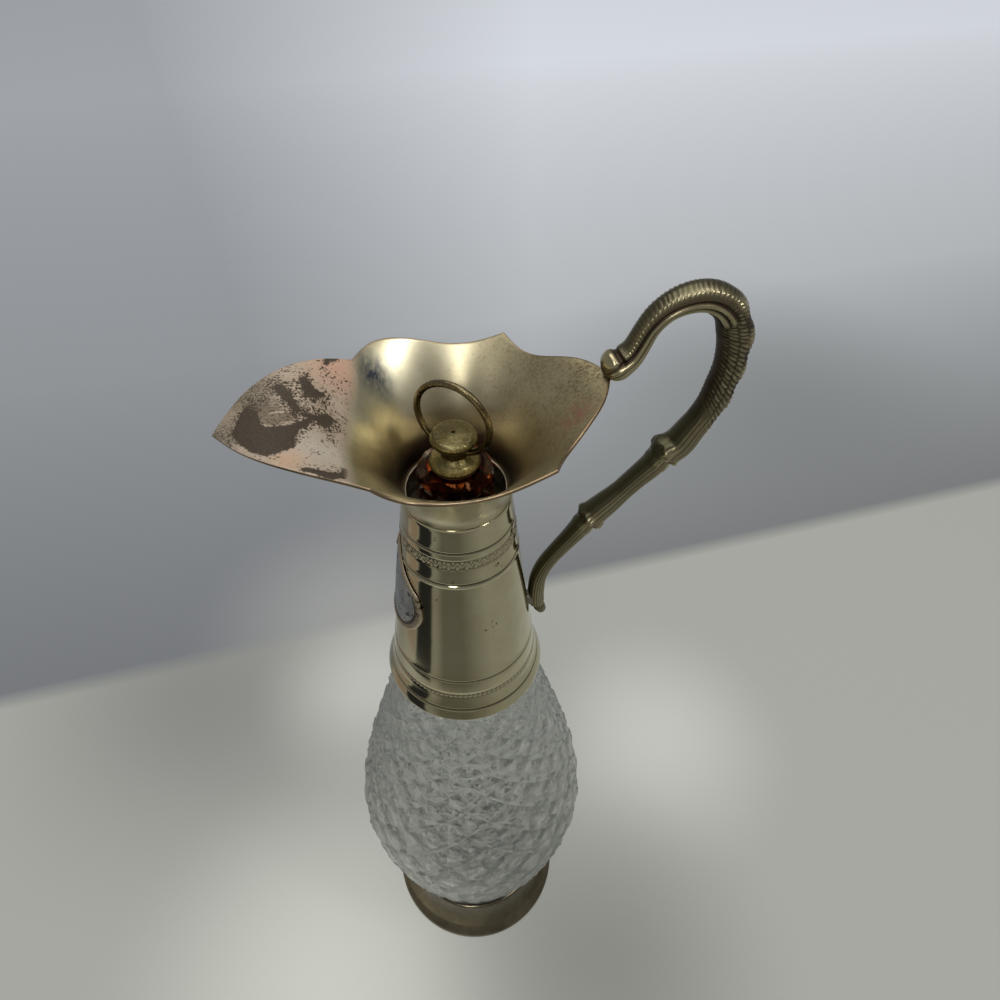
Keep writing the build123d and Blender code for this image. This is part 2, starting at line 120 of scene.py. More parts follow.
def bell(value, middle, width):
    """Bell curve exp(-t^2), where t is the distance to the middle over the width."""
    return np.exp(-(((value - middle) / width) ** 2))


def unit(vector):
    """The vector of length 1 in the same direction."""
    return np.asarray(vector, float) / np.linalg.norm(vector)


def directions(points):
    """Direction of a row of points at each of them."""
    slope = np.gradient(points, axis=0)
    return slope / np.linalg.norm(slope, axis=1)[:, None]


def arc(across, up, radius, first, last, count):
    """Points on an arc about a centre, from one angle to another in degrees."""
    turn = np.radians(np.linspace(first, last, count))
    return np.stack([across + radius * np.cos(turn), up + radius * np.sin(turn)], axis=1)


def around(radius, angle, height):
    """Points at a radius and an angle round Z, at a height."""
    parts = np.broadcast_arrays(radius * np.cos(angle), radius * np.sin(angle), height)
    return np.stack(parts, axis=-1)


# %% [markdown]
# ## From a grid of points to a closed mesh
# Every piece is a grid: rows along it and columns round it. The last column joins the first. The rows
# either join up too, as on a ring, or end in a centre point that closes each end. The signed volume of the
# triangles tells whether the faces point outwards, and turns them if they don't.


# %% Grid meshes
def make_object(name, vertices, polygons, smooth=True, sharp=None, marks=None):
    """Object from vertices in mm and a list of face arrays, each with one count of corners."""
    mesh = bpy.data.meshes.new(name)
    mesh.vertices.add(len(vertices))
    mesh.vertices.foreach_set("co", (np.asarray(vertices) * MM).ravel())
    corners = np.concatenate([faces.ravel() for faces in polygons])
    counts = np.concatenate([np.full(len(faces), faces.shape[1]) for faces in polygons])
    mesh.loops.add(len(corners))
    mesh.loops.foreach_set("vertex_index", corners.astype(np.int32))
    mesh.polygons.add(len(counts))
    starts = np.concatenate([[0], np.cumsum(counts)[:-1]])
    mesh.polygons.foreach_set("loop_start", starts.astype(np.int32))
    mesh.update(calc_edges=True)
    mesh.polygons.foreach_set("use_smooth", np.full(len(counts), smooth))
    if sharp is not None:
        mesh.set_sharp_from_angle(angle=np.radians(sharp))
    for mark, values in (marks or {}).items():
        layer = mesh.attributes.new(mark, "FLOAT", "POINT")
        layer.data.foreach_set("value", np.asarray(values, np.float32).ravel())
    if mesh.validate():
        print("mesh repaired:", name)
    made = bpy.data.objects.new(name, mesh)
    bpy.context.scene.collection.objects.link(made)
    return made


def volume(vertices, triangles):
    """Signed volume: a sixth of the sum of a . (b x c) over the triangles."""
    a, b, c = (vertices[triangles[:, side]] for side in range(3))
    return np.einsum("ij,ij->", a, np.cross(b, c)) / 6


def grid_piece(name, points, ring=False, crossed=None, smooth=True, sharp=None, marks=None):
    """Closed surface over points[row, column]. crossed picks each square's diagonal, where creases run."""
    rows, columns = points.shape[:2]
    index = np.arange(rows * columns).reshape(rows, columns)
    low = index if ring else index[:-1]
    high = np.roll(index, -1, axis=0) if ring else index[1:]
    a, b = low, np.roll(low, -1, axis=1)
    d, c = high, np.roll(high, -1, axis=1)
    quads = np.stack([a, b, c, d], axis=-1).reshape(-1, 4)
    vertices = points.reshape(-1, 3)
    triangles = np.concatenate([quads[:, [0, 1, 2]], quads[:, [0, 2, 3]]])
    if crossed is not None:
        other = np.concatenate([quads[:, [0, 1, 3]], quads[:, [1, 2, 3]]])
        pick = np.tile(crossed.reshape(-1), 2)[:, None]
        triangles = np.where(pick, other, triangles)
    polygons = [triangles if crossed is not None else quads]
    if not ring:
        centres = np.stack([points[0].mean(axis=0), points[-1].mean(axis=0)])
        first, last = len(vertices), len(vertices) + 1
        vertices = np.concatenate([vertices, centres])
        start = np.stack([np.full(columns, first), np.roll(index[0], -1), index[0]], axis=1)
        end = np.stack([np.full(columns, last), index[-1], np.roll(index[-1], -1)], axis=1)
        polygons.append(np.concatenate([start, end]))
        triangles = np.concatenate([triangles, start, end])
        if marks:
            marks = {k: np.concatenate([v.ravel(), [v[0].mean(), v[-1].mean()]]) for k, v in marks.items()}
    inside = volume(vertices, triangles)
    if inside < 0:
        polygons = [faces[:, ::-1] for faces in polygons]
    made = make_object(name, vertices, polygons, smooth, sharp, marks)
    print(f"{name}: {len(triangles)} triangles, {abs(inside) / 1000:.2f} cm3")
    return made


def columns_round(count):
    """Angles of evenly spaced columns, starting at +X."""
    return np.arange(count) * 2 * np.pi / count


def turn_profile(profile, columns, push=0.0):
    """Turns a profile of radius and height about Z. Each point is pushed out along the profile's normal."""
    profile = np.asarray(profile, float)
    slope = np.gradient(profile, axis=0)
    slope /= np.linalg.norm(slope, axis=1)[:, None] + 1e-12
    radius = profile[:, :1] + slope[:, 1:] * push
    height = profile[:, 1:] - slope[:, :1] * push
    return around(radius, columns_round(columns), height)


def dress(made, material, body, *nodes, slot):
    """Gives a piece its finish and its body, and hides the CAD nodes that it stands for."""
    made.data.materials.append(material)
    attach(made, body)
    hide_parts(*nodes)
    print(made.name, "has", material.name, "and moves with", body)


# %% [markdown]
# ## Camera
# The photo was taken from above and a little in front of the plane through spout and handle. A camera
# fitted to the ellipses of the foot, the collar's lines and the throat gives the place, the direction, a
# small roll and the lens.

# %% Camera
camera_place = np.array([-17.4, -127.0, 401.2])
camera_forward = np.array([0.1515, 0.6720, -0.7249])
camera_right = np.array([0.9755, -0.2199, 0.0])
camera_roll = np.radians(0.45)
camera_lens = 26.28

forward, right = unit(camera_forward), unit(camera_right)
up = np.cross(right, forward)
rolled_right = np.cos(camera_roll) * right + np.sin(camera_roll) * up
rolled_up = np.cos(camera_roll) * up - np.sin(camera_roll) * right
camera_data = bpy.data.cameras.new("camera")
camera_data.lens = camera_lens
camera_data.sensor_width = 36
camera_data.clip_start = 0.01
camera = bpy.data.objects.new("camera", camera_data)
turn = Matrix(np.stack([rolled_right, rolled_up, -forward], axis=1).tolist()).to_4x4()
camera.matrix_world = Matrix.Translation(Vector((camera_place * MM).tolist())) @ turn
bpy.context.scene.collection.objects.link(camera)
bpy.context.scene.camera = camera
bpy.context.scene.view_settings.view_transform = "Standard"
print("camera looks down by", round(np.degrees(np.arcsin(-forward[2])), 1), "degrees")

# %% [markdown]
# ## Node networks
# A finish is a small network of shader nodes. A net holds one such tree. It adds a node in one line, and
# has a short name for each step that comes back: a sum, a product, a blend of two colours, a ramp, a soft
# spot.


# %% Node networks
def colour(red, green, blue):
    """A colour as it is seen, from 0 to 255, in the linear values that shaders count in."""
    seen = np.array([red, green, blue]) / 255
    return (*np.where(seen > 0.04045, ((seen + 0.055) / 1.055) ** 2.4, seen / 12.92).tolist(), 1.0)


def seen_tone(tone):
    """A tone of three numbers is a seen colour. Any other is used as it is."""
    return colour(*tone) if isinstance(tone, tuple) and len(tone) == 3 else tone


class Net:
    """A tree of shader nodes and the node that it leads to."""

    def __init__(self, tree, result):
        self.tree, self.result = tree, result

    def fill(self, made, inputs):
        """Sets each input of a node to a value, or links it to a socket."""
        for key, value in inputs.items():
            if isinstance(value, bpy.types.NodeSocket):
                self.tree.links.new(value, made.inputs[key])
            else:
                made.inputs[key].default_value = value

    def give(self, inputs):
        """Fills inputs of the node that the tree leads to."""
        self.fill(self.result, inputs)

    def node(self, kind, inputs, **settings):
        made = self.tree.nodes.new(kind)
        for key, value in settings.items():
            setattr(made, key, value)
        self.fill(made, inputs)
        return made.outputs

    def math(self, operation, first, second, clamp=False):
        return self.node("ShaderNodeMath", {0: first, 1: second}, operation=operation, use_clamp=clamp)[0]

    def plus(self, first, second, clamp=False):
        return self.math("ADD", first, second, clamp)

    def minus(self, first, second):
        return self.math("SUBTRACT", first, second)

    def times(self, first, second, clamp=False):
        return self.math("MULTIPLY", first, second, clamp)

    def most(self, first, second):
        return self.math("MAXIMUM", first, second)

    def vector(self, operation, first, second):
        return self.node("ShaderNodeVectorMath", {0: first, 1: second}, operation=operation)

    def blend(self, factor, first, second):
        """Colour that goes from first to second as the factor goes from 0 to 1."""
        inputs = {0: factor, 6: seen_tone(first), 7: seen_tone(second)}
        return self.node("ShaderNodeMix", inputs, data_type="RGBA")[2]

    def layers(self, tone, *steps):
        """Covers a tone with others in turn. Each step is a mask and a tone."""
        for mask, over in steps:
            tone = self.blend(mask, tone, over)
        return tone

    def ramp(self, value, low, high, to_low=0.0, to_high=1.0, **settings):
        """Straight rise of a value from to_low at low to to_high at high, held level outside."""
        inputs = {"Value": value, "From Min": low, "From Max": high, "To Min": to_low, "To Max": to_high}
        return self.node("ShaderNodeMapRange", inputs, **settings)[0]

    def noise(self, where, scale, detail, roughness=0.5):
        inputs = {"Vector": where, "Scale": scale, "Detail": detail, "Roughness": roughness}
        return self.node("ShaderNodeTexNoise", inputs)[0]

    def place(self):
        """The point on the piece in its own coordinates, in metres."""
        return self.node("ShaderNodeTexCoord", {})["Object"]

    def split(self, vector):
        return self.node("ShaderNodeSeparateXYZ", {0: vector})

    def spot(self, x, y, size, strength, **settings):
        """A soft round mask about a place in plan, in mm, that falls from its strength to 0."""
        where = self.place()
        aim = self.node("ShaderNodeCombineXYZ", {0: x * MM, 1: y * MM, 2: self.split(where)[2]})[0]
        away = self.vector("DISTANCE", where, aim)["Value"]
        return self.ramp(away, 0.0, size * MM, strength, 0.0, **settings)

    def mark(self, name):
        """A number stored at each vertex of the piece."""
        return self.node("ShaderNodeAttribute", {}, attribute_name=name)["Fac"]

    def effect(self, group, **inputs):
        """Places a shared effect, read at the piece's own coordinates."""
        return self.node("ShaderNodeGroup", {"Place": self.place(), **inputs}, node_tree=group)[0]

    def bump(self, height, depth, strength):
        inputs = {"Height": height, "Distance": depth, "Strength": strength}
        self.give({"Normal": self.node("ShaderNodeBump", inputs)[0]})


def new_material(name):
    """An empty material, and the net that leads to its Principled shader."""
    material = bpy.data.materials.new(name)
    material.use_nodes = True
    return material, Net(material.node_tree, material.node_tree.nodes["Principled BSDF"])


# %% [markdown]
# ## Effects that several finishes share
# Old plate is never even. Three effects come back on most pieces: specks where the plate has gone, cloudy
# tarnish, and the fine lines that polishing leaves. Each is built once as a node group that gives out a
# mask or a height, and each finish places it with its own values.


# %% Shared effects
def new_group(name, output, **inputs):
    """A node group that is read at a place, with its net and what it is given. A number makes an input of one
    value, and three numbers make a vector."""
    tree = bpy.data.node_groups.new(name, "ShaderNodeTree")
    tree.interface.new_socket("Place", in_out="INPUT", socket_type="NodeSocketVector")
    for label, value in inputs.items():
        kind = "NodeSocketFloat" if isinstance(value, float) else "NodeSocketVector"
        tree.interface.new_socket(label, in_out="INPUT", socket_type=kind).default_value = value
    tree.interface.new_socket(output, in_out="OUTPUT", socket_type="NodeSocketFloat")
    return Net(tree, tree.nodes.new("NodeGroupOutput")), tree.nodes.new("NodeGroupInput").outputs


def build_specks():
    """Mask of small ragged specks: noise above a level that a second, broader noise moves."""
    net, given = new_group("specks", "Mask", Size=0.001, Cover=0.3, Edge=0.05)
    per_metre = net.math("DIVIDE", 1.0, given["Size"])
    fine = net.noise(given["Place"], per_metre, 3.0, 0.6)
    broad = net.noise(given["Place"], net.times(per_metre, 0.17), 2.0)
    level = net.plus(net.plus(fine, net.times(net.minus(broad, 0.5), 0.35)), given["Cover"])
    net.give({"Mask": net.ramp(level, net.minus(0.8, given["Edge"]), net.plus(0.8, given["Edge"]))})
    return net.tree


def build_clouds():
    """Cloudy tarnish: two sizes of soft noise added, from 0 for clean to 1 for dark."""
    net, given = new_group("clouds", "Mask", Size=0.01)
    per_metre = net.math("DIVIDE", 1.0, given["Size"])
    broad = net.noise(given["Place"], per_metre, 4.0, 0.55)
    fine = net.noise(given["Place"], net.times(per_metre, 6.0), 3.0)
    both = net.plus(net.times(broad, 0.7), net.times(fine, 0.3))
    net.give({"Mask": net.ramp(both, 0.35, 0.65)})
    return net.tree


def build_rub_lines():
    """Height of fine rubbed lines: noise that is drawn out along one direction by the stretch."""
    net, given = new_group("rub_lines", "Height", Stretch=(1.0, 1.0, 1.0), Size=0.0005)
    drawn = net.vector("MULTIPLY", given["Place"], given["Stretch"])["Vector"]
    net.give({"Height": net.noise(drawn, net.math("DIVIDE", 1.0, given["Size"]), 4.0, 0.7)})
    return net.tree


specks, clouds, rub_lines = build_specks(), build_clouds(), build_rub_lines()
print("shared effects:", [group.name for group in (specks, clouds, rub_lines)])

# %% [markdown]
# ## Floor, lamps and surroundings
# Polished metal shows what stands round it, so the room matters as much as the lamps. The floor is plain
# and pale, with a few soft spots of painted shade and painted light, and past a straight line it turns to a
# cooler grey.
# Two narrow lamps stand in front, to the left and to the right, and give the two bright streaks in the
# spout. A broad soft one hangs overhead. A card that only reflections see gives the collar its dark and
# pale bands, as cards do in a studio.

# %% Floor
wall_line = (np.array([-135.0, 151.0]), np.array([261.0, 172.0]))
wall_softness = 0.006
floor_size = 2600.0
floor_share = 0.4
near_floor, far_floor = (175, 176, 169), (128, 130, 131)
# Soft spots of painted shade and painted light: darker and lighter patches laid on the near floor and on the
# far grey.
near_shade_and_light = [((-140, 130, 150, 0.9), (144, 145, 140)), ((-45, 108, 75, 0.8), (203, 204, 197)),
              ((-75, -45, 120, 1.0), (213, 214, 204)), ((116, 42, 85, 1.0), (203, 205, 197)),
              ((52, -62, 100, 1.0), (146, 148, 140))]
far_shade_and_light = [((-45, 160, 120, 0.8), (172, 173, 170)), ((330, 310, 240, 0.55), (124, 127, 127))]
side_tone, side_pole = (124, 127, 132), 0.127
floor_corners = floor_size * np.array([[-1, -1, 0], [1, -1, 0], [1, 1, 0], [-1, 1, 0]])
floor = make_object("floor", floor_corners, [np.array([[0, 1, 2, 3]])], smooth=False)
floor_material, net = new_material("floor_paper")
along = unit(wall_line[1] - wall_line[0])
across = (-along[1], along[0], 0.0)
start = float(np.dot(across[:2], wall_line[0]) * MM)
beyond = net.minus(net.vector("DOT_PRODUCT", net.place(), across)["Value"], start)
soft = {"interpolation_type": "SMOOTHSTEP"}
near_tone = net.layers(near_floor, *[(net.spot(*where, **soft), tone) for where, tone in near_shade_and_light])
floor_xyz = net.split(net.place())
side_reach = net.math("DIVIDE", floor_xyz[0], net.plus(floor_xyz[1], side_pole))
far_tone = net.layers(far_floor, (net.ramp(beyond, 0.0, 0.32), (190, 194, 197)),
                      (net.ramp(beyond, 0.3, 1.1), (238, 243, 250)),
                      (net.ramp(side_reach, -0.2, 0.25, 0.62, 0.0), side_tone),
                      *[(net.spot(*where, **soft), tone) for where, tone in far_shade_and_light])
floor_tone = net.blend(net.ramp(beyond, -wall_softness, wall_softness), near_tone, far_tone)
path = net.node("ShaderNodeLightPath", {})
seen = net.most(path["Is Camera Ray"], net.most(path["Is Glossy Ray"], path["Is Transmission Ray"]))
net.give({"Base Color": net.vector("MULTIPLY", floor_tone, (floor_share,) * 3)["Vector"],
          "Emission Color": floor_tone, "Emission Strength": net.times(seen, 1 - floor_share),
          "Roughness": 0.8, "Specular IOR Level": 0.1})
floor.data.materials.append(floor_material)
print("floor tones: 2 and", len(near_shade_and_light) + len(far_shade_and_light), "soft spots")


# %% Lamps and card
throat = Vector((0.0, 0.0, 0.24))


def lamp(name, azimuth, elevation, distance, width, height, power):
    """An area lamp at a direction from the throat, in degrees, that faces it."""
    a, e = np.radians([azimuth, elevation])
    way = Vector((np.cos(a) * np.cos(e), np.sin(a) * np.cos(e), np.sin(e)))
    data = bpy.data.lights.new(name, "AREA")
    data.shape = "RECTANGLE"
    data.size, data.size_y, data.energy = width, height, power
    made = bpy.data.objects.new(name, data)
    facing = way.to_track_quat("Z", "Y").to_matrix().to_4x4()
    made.matrix_world = Matrix.Translation(throat + way * distance) @ facing
    bpy.context.scene.collection.objects.link(made)


lamp("lamp_front_left", -113, 57, 1.25, 0.20, 0.80, 3.4)
lamp("lamp_front_right", -36, 57, 1.25, 0.12, 0.60, 3.3)
lamp("lamp_overhead", 90, 75, 1.6, 1.2, 1.2, 9.6)
card_inner, card_outer, card_height, card_columns = 215.0, 1500.0, 0.6, 180


def reflection_card():
    """A ring round the jug, just over the floor, that only reflections see. How much it covers depends on the
    direction from the jug in degrees: a dark band to the left, a softer one in front, a rosy one behind."""
    angles = columns_round(card_columns)
    points = np.concatenate([around(edge, angles, card_height) for edge in (card_inner, card_outer)])
    first = np.arange(card_columns)
    second = np.roll(first, -1)
    faces = np.stack([first, second, second + card_columns, first + card_columns], axis=1)
    made = make_object("reflection_card", points, [faces], smooth=False)
    material, net = new_material("reflection_card")
    xyz = net.split(net.place())
    turn = net.times(net.math("ARCTAN2", xyz[1], xyz[0]), 180 / np.pi)
    dark_band = net.times(net.ramp(turn, -180, -175), net.ramp(turn, -147, -151))
    front = net.times(net.ramp(turn, -142, -130, 0.5, 1.0), net.ramp(turn, -58, -100, 0.3, 1.0))
    front = net.times(front, net.math("GREATER_THAN", turn, -149.0))
    front = net.times(front, net.ramp(turn, 30, -20))
    cover = net.most(net.times(dark_band, 0.99), net.times(front, 0.71))
    cover = net.most(cover, net.ramp(turn, 140, 165, 0.0, 0.5))
    tone = net.blend(net.ramp(turn, 100, 120), (0.034, 0.032, 0.021, 1.0), (150, 100, 76))
    tone = net.blend(dark_band, tone, (0.008, 0.010, 0.015, 1.0))
    net.give({"Alpha": cover, "Base Color": tone, "Roughness": 0.9})
    made.data.materials.append(material)
    made.visible_camera = made.visible_diffuse = made.visible_shadow = made.visible_transmission = False


reflection_card()

# %% Surroundings
world = bpy.data.worlds.new("room")
bpy.context.scene.world = world
world.use_nodes = True
net = Net(world.node_tree, world.node_tree.nodes["Background"])
rise = net.split(net.node("ShaderNodeTexCoord", {})["Generated"])["Z"]
sides = net.blend(net.ramp(rise, -0.2, 0.5), (178, 178, 172), (146, 147, 148))
net.give({"Color": net.blend(net.ramp(rise, 0.55, 0.9), sides, (132, 133, 136)), "Strength": 0.8})
print("lamps:", [lamp_data.name for lamp_data in bpy.data.lights])

# %% [markdown]
# ## Glass bottle
# A mould presses and a wheel cuts such a bottle. Wide V cuts cross each other in slanting lines and leave
# lozenges, and each lozenge is filled with small pyramids. Modelling each pyramid by hand would take a
# lifetime. Here two slanting coordinates run round the bottle, and the depth of a point is how near it lies
# to a cut in either of them. The rows are spaced by the radius, so the lozenges stay square from the foot
# to the collar.

# %% The bottle's outline
bottle_outline = [(24.5, 9.0), (28.4, 19.0), (34.04, 40.33), (39.02, 60.08), (43.17, 79.83), (45.0, 98.0)]
bottle_outline += [(41.8, 120.2), (37.0, 140.4), (31.5, 159.6), (26.2, 179.8), (21.5, 199.0)]
bottle_outline += [(15.95, 219.4), (12.6, 237.25), (11.4, 250.0)]
inner_outline = [(11.4, 19.0), (22.5, 24.0), (29.84, 40.33), (34.82, 60.08), (38.97, 79.83), (40.8, 98.0)]
inner_outline += [(37.6, 120.2), (32.8, 140.4), (27.3, 159.6), (22.0, 179.8), (17.3, 199.0)]
inner_outline += [(11.75, 219.4), (8.4, 236.0)]
bottle_wall = dense_curve(bottle_outline)
bottle_inside = even(dense_curve(inner_outline), 60)
cut_low, cut_high = 21.6, 195.3
cells_round, steps_in_cell, small_cuts = 16, 16, 4
lozenge_depth, small_depth, wide_depth, wide_reach = 1.1, 0.42, 0.1, 0.12
heights_across = 64
pyramid_heights = np.random.default_rng(11).uniform(0.0, 1.7, (heights_across, heights_across))

# %% The cut pattern
wall_length = lengths(bottle_wall)
girth = 2 * np.pi * bottle_wall[1:, 0]
wall_turns = np.concatenate([[0], np.cumsum(np.diff(wall_length) * cells_round / girth)])
first_turn, last_turn = np.interp([cut_low, cut_high], bottle_wall[:, 1], wall_turns)
row_count = round(2 * (last_turn - first_turn)) * steps_in_cell // 2
row_turns = np.arange(row_count + 1) / steps_in_cell
row_share = np.linspace(first_turn, last_turn, row_count + 1)
row_places = np.interp(row_share, wall_turns, wall_length)
cut_rows = np.stack([np.interp(row_places, wall_length, bottle_wall[:, side]) for side in (0, 1)], axis=1)
bottle_columns = cells_round * steps_in_cell


def to_line(value):
    """Distance of a number to the nearest whole one, as 0 on it and 1 halfway."""
    return 2 * np.abs(value - np.round(value))


def cut_depth(turns_up, turns_round):
    """A lozenge rises by the smaller of the distances to the two families of cuts, and so does each small
    pyramid in it. The cuts between the lozenges go deeper."""
    a, b = turns_round + turns_up, turns_round - turns_up
    lozenge = np.minimum(to_line(a), to_line(b))
    pyramid = np.minimum(to_line(a * small_cuts), to_line(b * small_cuts))
    wide = (1 - lozenge / (2 * wide_reach)).clip(0)
    which = [np.floor(value * small_cuts).astype(int) % heights_across for value in (a, b)]
    pyramid = pyramid * pyramid_heights[which[0], which[1]]
    return lozenge_depth * (1 - lozenge) + small_depth * (1 - pyramid) + wide_depth * wide


round_turns = np.arange(bottle_columns) / steps_in_cell
fade = smooth_step(0, 0.4, row_turns) * smooth_step(0, 0.4, row_turns[-1] - row_turns)
cuts = cut_depth(row_turns[:, None], round_turns[None, :]) * fade[:, None]
print(f"{cells_round * small_cuts} small cuts each way, deepest {cuts.max():.2f} mm, {row_count} rows")

# %% The bottle's mesh
below = bottle_wall[bottle_wall[:, 1] < cut_low - 0.5][::8]
above = bottle_wall[bottle_wall[:, 1] > cut_high + 0.5][::10]
base_rows = np.array([(2.0, 9.0), (12.0, 9.0), (23.8, 9.0)])
lip_rows = np.array([(11.4, 257.0), (12.0, 258.0), (12.2, 258.6), (12.2, 261.4), (11.8, 262.0), (8.8, 262.0),
                     (8.4, 261.4)])
bore_rows = np.array([(8.4, 252.0), (8.4, 244.0)])
floor_rows = np.array([(6.0, 19.0), (2.0, 19.0)])
bottle_rows = [base_rows, below, cut_rows, above, lip_rows, bore_rows, bottle_inside[::-1], floor_rows]
bottle_rows = np.concatenate(bottle_rows)
bottle_push = np.zeros((len(bottle_rows), bottle_columns))
first_cut = len(base_rows) + len(below)
last_cut = first_cut + len(cut_rows)
bottle_push[first_cut:last_cut] = -cuts
row_number, column_number = np.indices((len(bottle_rows) - 1, bottle_columns))
crossed = (row_number - first_cut + column_number) % 2 == 1
bottle_points = turn_profile(bottle_rows, bottle_columns, bottle_push)
bottle = grid_piece("cut_glass_bottle", bottle_points, crossed=crossed, smooth=False)
in_cuts = ((row_number >= first_cut) & (row_number < last_cut)).ravel()
smooth_faces = np.concatenate([np.tile(~in_cuts, 2), np.ones(2 * bottle_columns, bool)])
bottle.data.polygons.foreach_set("use_smooth", smooth_faces)
bottle.data.set_sharp_from_angle(angle=np.radians(35))
low, high = cad_size("glass_bottle")
print("CAD bottle is", (high - low).round(1), "mm")

# %% [markdown]
# ### Clear glass
# Soda glass is clear with a breath of grey green. It needs a transmission of 1 and an index of 1.5. Its
# roughness and a fine ripple stand for the wear on a thousand small edges, and soften what shows through.

# %% Clear glass finish
clear_glass, net = new_material("clear_cut_glass")
net.give({"Base Color": (0.955, 0.97, 0.935, 1.0), "Transmission Weight": 1.0, "IOR": 1.5, "Roughness": 0.31})
net.bump(net.noise(net.place(), 230.0, 2.0), 0.0012, 0.75)
dress(bottle, clear_glass, "jug", "glass_bottle", slot="clear_glass")

# %% [markdown]
# ## Metal foot
# The foot is spun from thin sheet: an upright edge on the table, a hollow sweep up to the glass and a bead
# round it. A turned profile makes it. The sweep follows a spline, and every corner has a small round so
# that it catches light.

# %% Foot
foot_outside = dense_curve([(38.0, 2.5), (34.5, 6.35), (31.6, 12.65), (30.4, 19.2)], 12)
foot_bead = arc(29.7, 20.0, 0.95, -70, 200, 19)
foot_inside = dense_curve([(36.6, 1.5), (33.3, 6.0), (30.2, 12.9), (29.0, 19.4)], 8)[::-1]
foot_edge = [(36.6, 0.2), (36.8, 0.0), (37.7, 0.0), (37.93, 0.12), (38.0, 0.35), (38.0, 2.2), (37.95, 2.42)]
foot_rows = np.concatenate([foot_edge, foot_outside[1:], foot_bead, foot_inside])
foot = grid_piece("spun_foot", turn_profile(foot_rows, 192), ring=True, sharp=50)

dark_plate, net = new_material("dark_tarnished_plate")
tarnish = net.effect(clouds, Size=0.02)
spots = net.effect(specks, Size=0.0012, Cover=0.12)
tone = net.layers((123, 114, 95), (tarnish, (94, 84, 68)), (spots, (76, 64, 50)))
net.give({"Base Color": tone, "Roughness": net.ramp(tarnish, 0, 1, 0.12, 0.2), "Metallic": 1.0})
dress(foot, dark_plate, "jug", "foot_ring", slot="foot_plate")

# %% [markdown]
# ## Collar
# The collar is a tapered sleeve of plated sheet with turned lines, a rolled band of leaves near its top, a
# beaded line near its hem and a hem that flares over the glass. The lines are dips in the profile. The two
# bands also change round the collar, so each is a height over angle and height.

# %% The collar's outline
collar_low, collar_high = 196.0, 270.5
hem_top, hem_flare, flare_top = 198.7, 1.35, 204
collar_foot_radius, collar_head_radius, collar_bow = 22.8, 13.95, 0.35
line_heights = (262.6, 251.6, 212.0, 199.6)
ridge_heights = (251.0, 209.6)
band_middle, band_half, bead_middle = 258.7, 1.9, 205.6
collar_columns, leaves_round, beads_round = 672, 42, 96


def collar_radius(height):
    """Straight taper from the hem to the head, drawn in by a parabola that is deepest halfway."""
    part = (collar_high - height) / (collar_high - hem_top)
    straight = collar_head_radius + (collar_foot_radius - collar_head_radius) * part
    flare = hem_flare * np.clip((flare_top - height) / (flare_top - collar_low), 0, 1) ** 2
    return straight - 4 * collar_bow * part * (1 - part) * (height > hem_top) + flare


def turned_lines(height):
    """Each line is a narrow dip with a soft raised lip above it, both bell curves of the distance."""
    relief = np.zeros_like(height)
    for middle in line_heights:
        relief += 0.12 * bell(height, middle + 0.85, 0.42) - 0.34 * bell(height, middle, 0.34)
    for middle in ridge_heights:
        relief += 0.20 * bell(height, middle, 0.28)
    return relief


def leaf_band(height, angle):
    """A stem that winds as a sine, with a leaf in each bend: bell curves about the stem and the leaves."""
    turns = angle / (2 * np.pi) * leaves_round
    level = height - band_middle
    stem = bell(level, 0.55 * np.sin(2 * np.pi * turns), 0.28)
    side = np.where(turns % 1 < 0.5, -1.0, 1.0)
    leaf = bell((turns % 0.5 - 0.25) * 2.3, 0, 0.34) * bell(level, side * 0.75, 0.42)
    inside = smooth_step(band_half, band_half - 0.4, np.abs(level))
    return inside * (0.30 * np.maximum(stem, leaf) - 0.16)


def bead_band(height, angle):
    """A row of small beads in a shallow channel."""
    level = (height - bead_middle) / 0.62
    bead = np.sqrt(np.clip(1 - level**2 - np.cos(angle * beads_round / 2) ** 2 * 0.9, 0, 1))
    return 0.26 * bead - 0.22 * np.exp(-((height - bead_middle) / 0.8) ** 4)


# %% The collar's mesh
even_heights = np.linspace(collar_low + 0.25, collar_high - 0.15, 60)
near_lines = [middle + np.linspace(-0.9, 1.5, 11) for middle in line_heights]
near_bands = [np.linspace(band_middle - 2.1, band_middle + 2.1, 19), np.linspace(204.5, 206.7, 12)]
heights = np.unique(np.concatenate([even_heights, *near_lines, *near_bands]).round(2))
heights = heights[np.concatenate([[True], np.diff(heights) > 0.09])]
angles = columns_round(collar_columns)
outside = np.stack([collar_radius(heights), heights], axis=1)
relief = leaf_band(heights[:, None], angles) + bead_band(heights[:, None], angles)
relief = relief + turned_lines(heights)[:, None]
collar_top_rows = np.array([(13.8, 270.5), (12.95, 270.5), (12.95, 269.7), (13.2, 269.65)])
inside_heights = np.linspace(269.5, 196.6, 8)
inside = np.stack([collar_radius(inside_heights) - 0.8, inside_heights], axis=1)
hem_rows = np.array([(23.75, 196.1), (24.0, 196.0), (24.35, 196.02)])
collar_rows = np.concatenate([outside, collar_top_rows, inside, hem_rows])
push = np.zeros((len(collar_rows), collar_columns))
push[: len(heights)] = relief
dips = np.clip(-push / 0.3, 0, 1)
collar_points = turn_profile(collar_rows, collar_columns, push)
collar = grid_piece("engraved_collar", collar_points, ring=True, sharp=60, marks={"dip": dips})

# %% [markdown]
# ### Worn silver plate
# Polished plate is a metal with low roughness. Tarnish stays where a cloth doesn't reach, so the mark that
# the mesh carries for its dips darkens the lines and the ground of the bands. Scattered dark specks and a
# warm cloud break up the even shine.


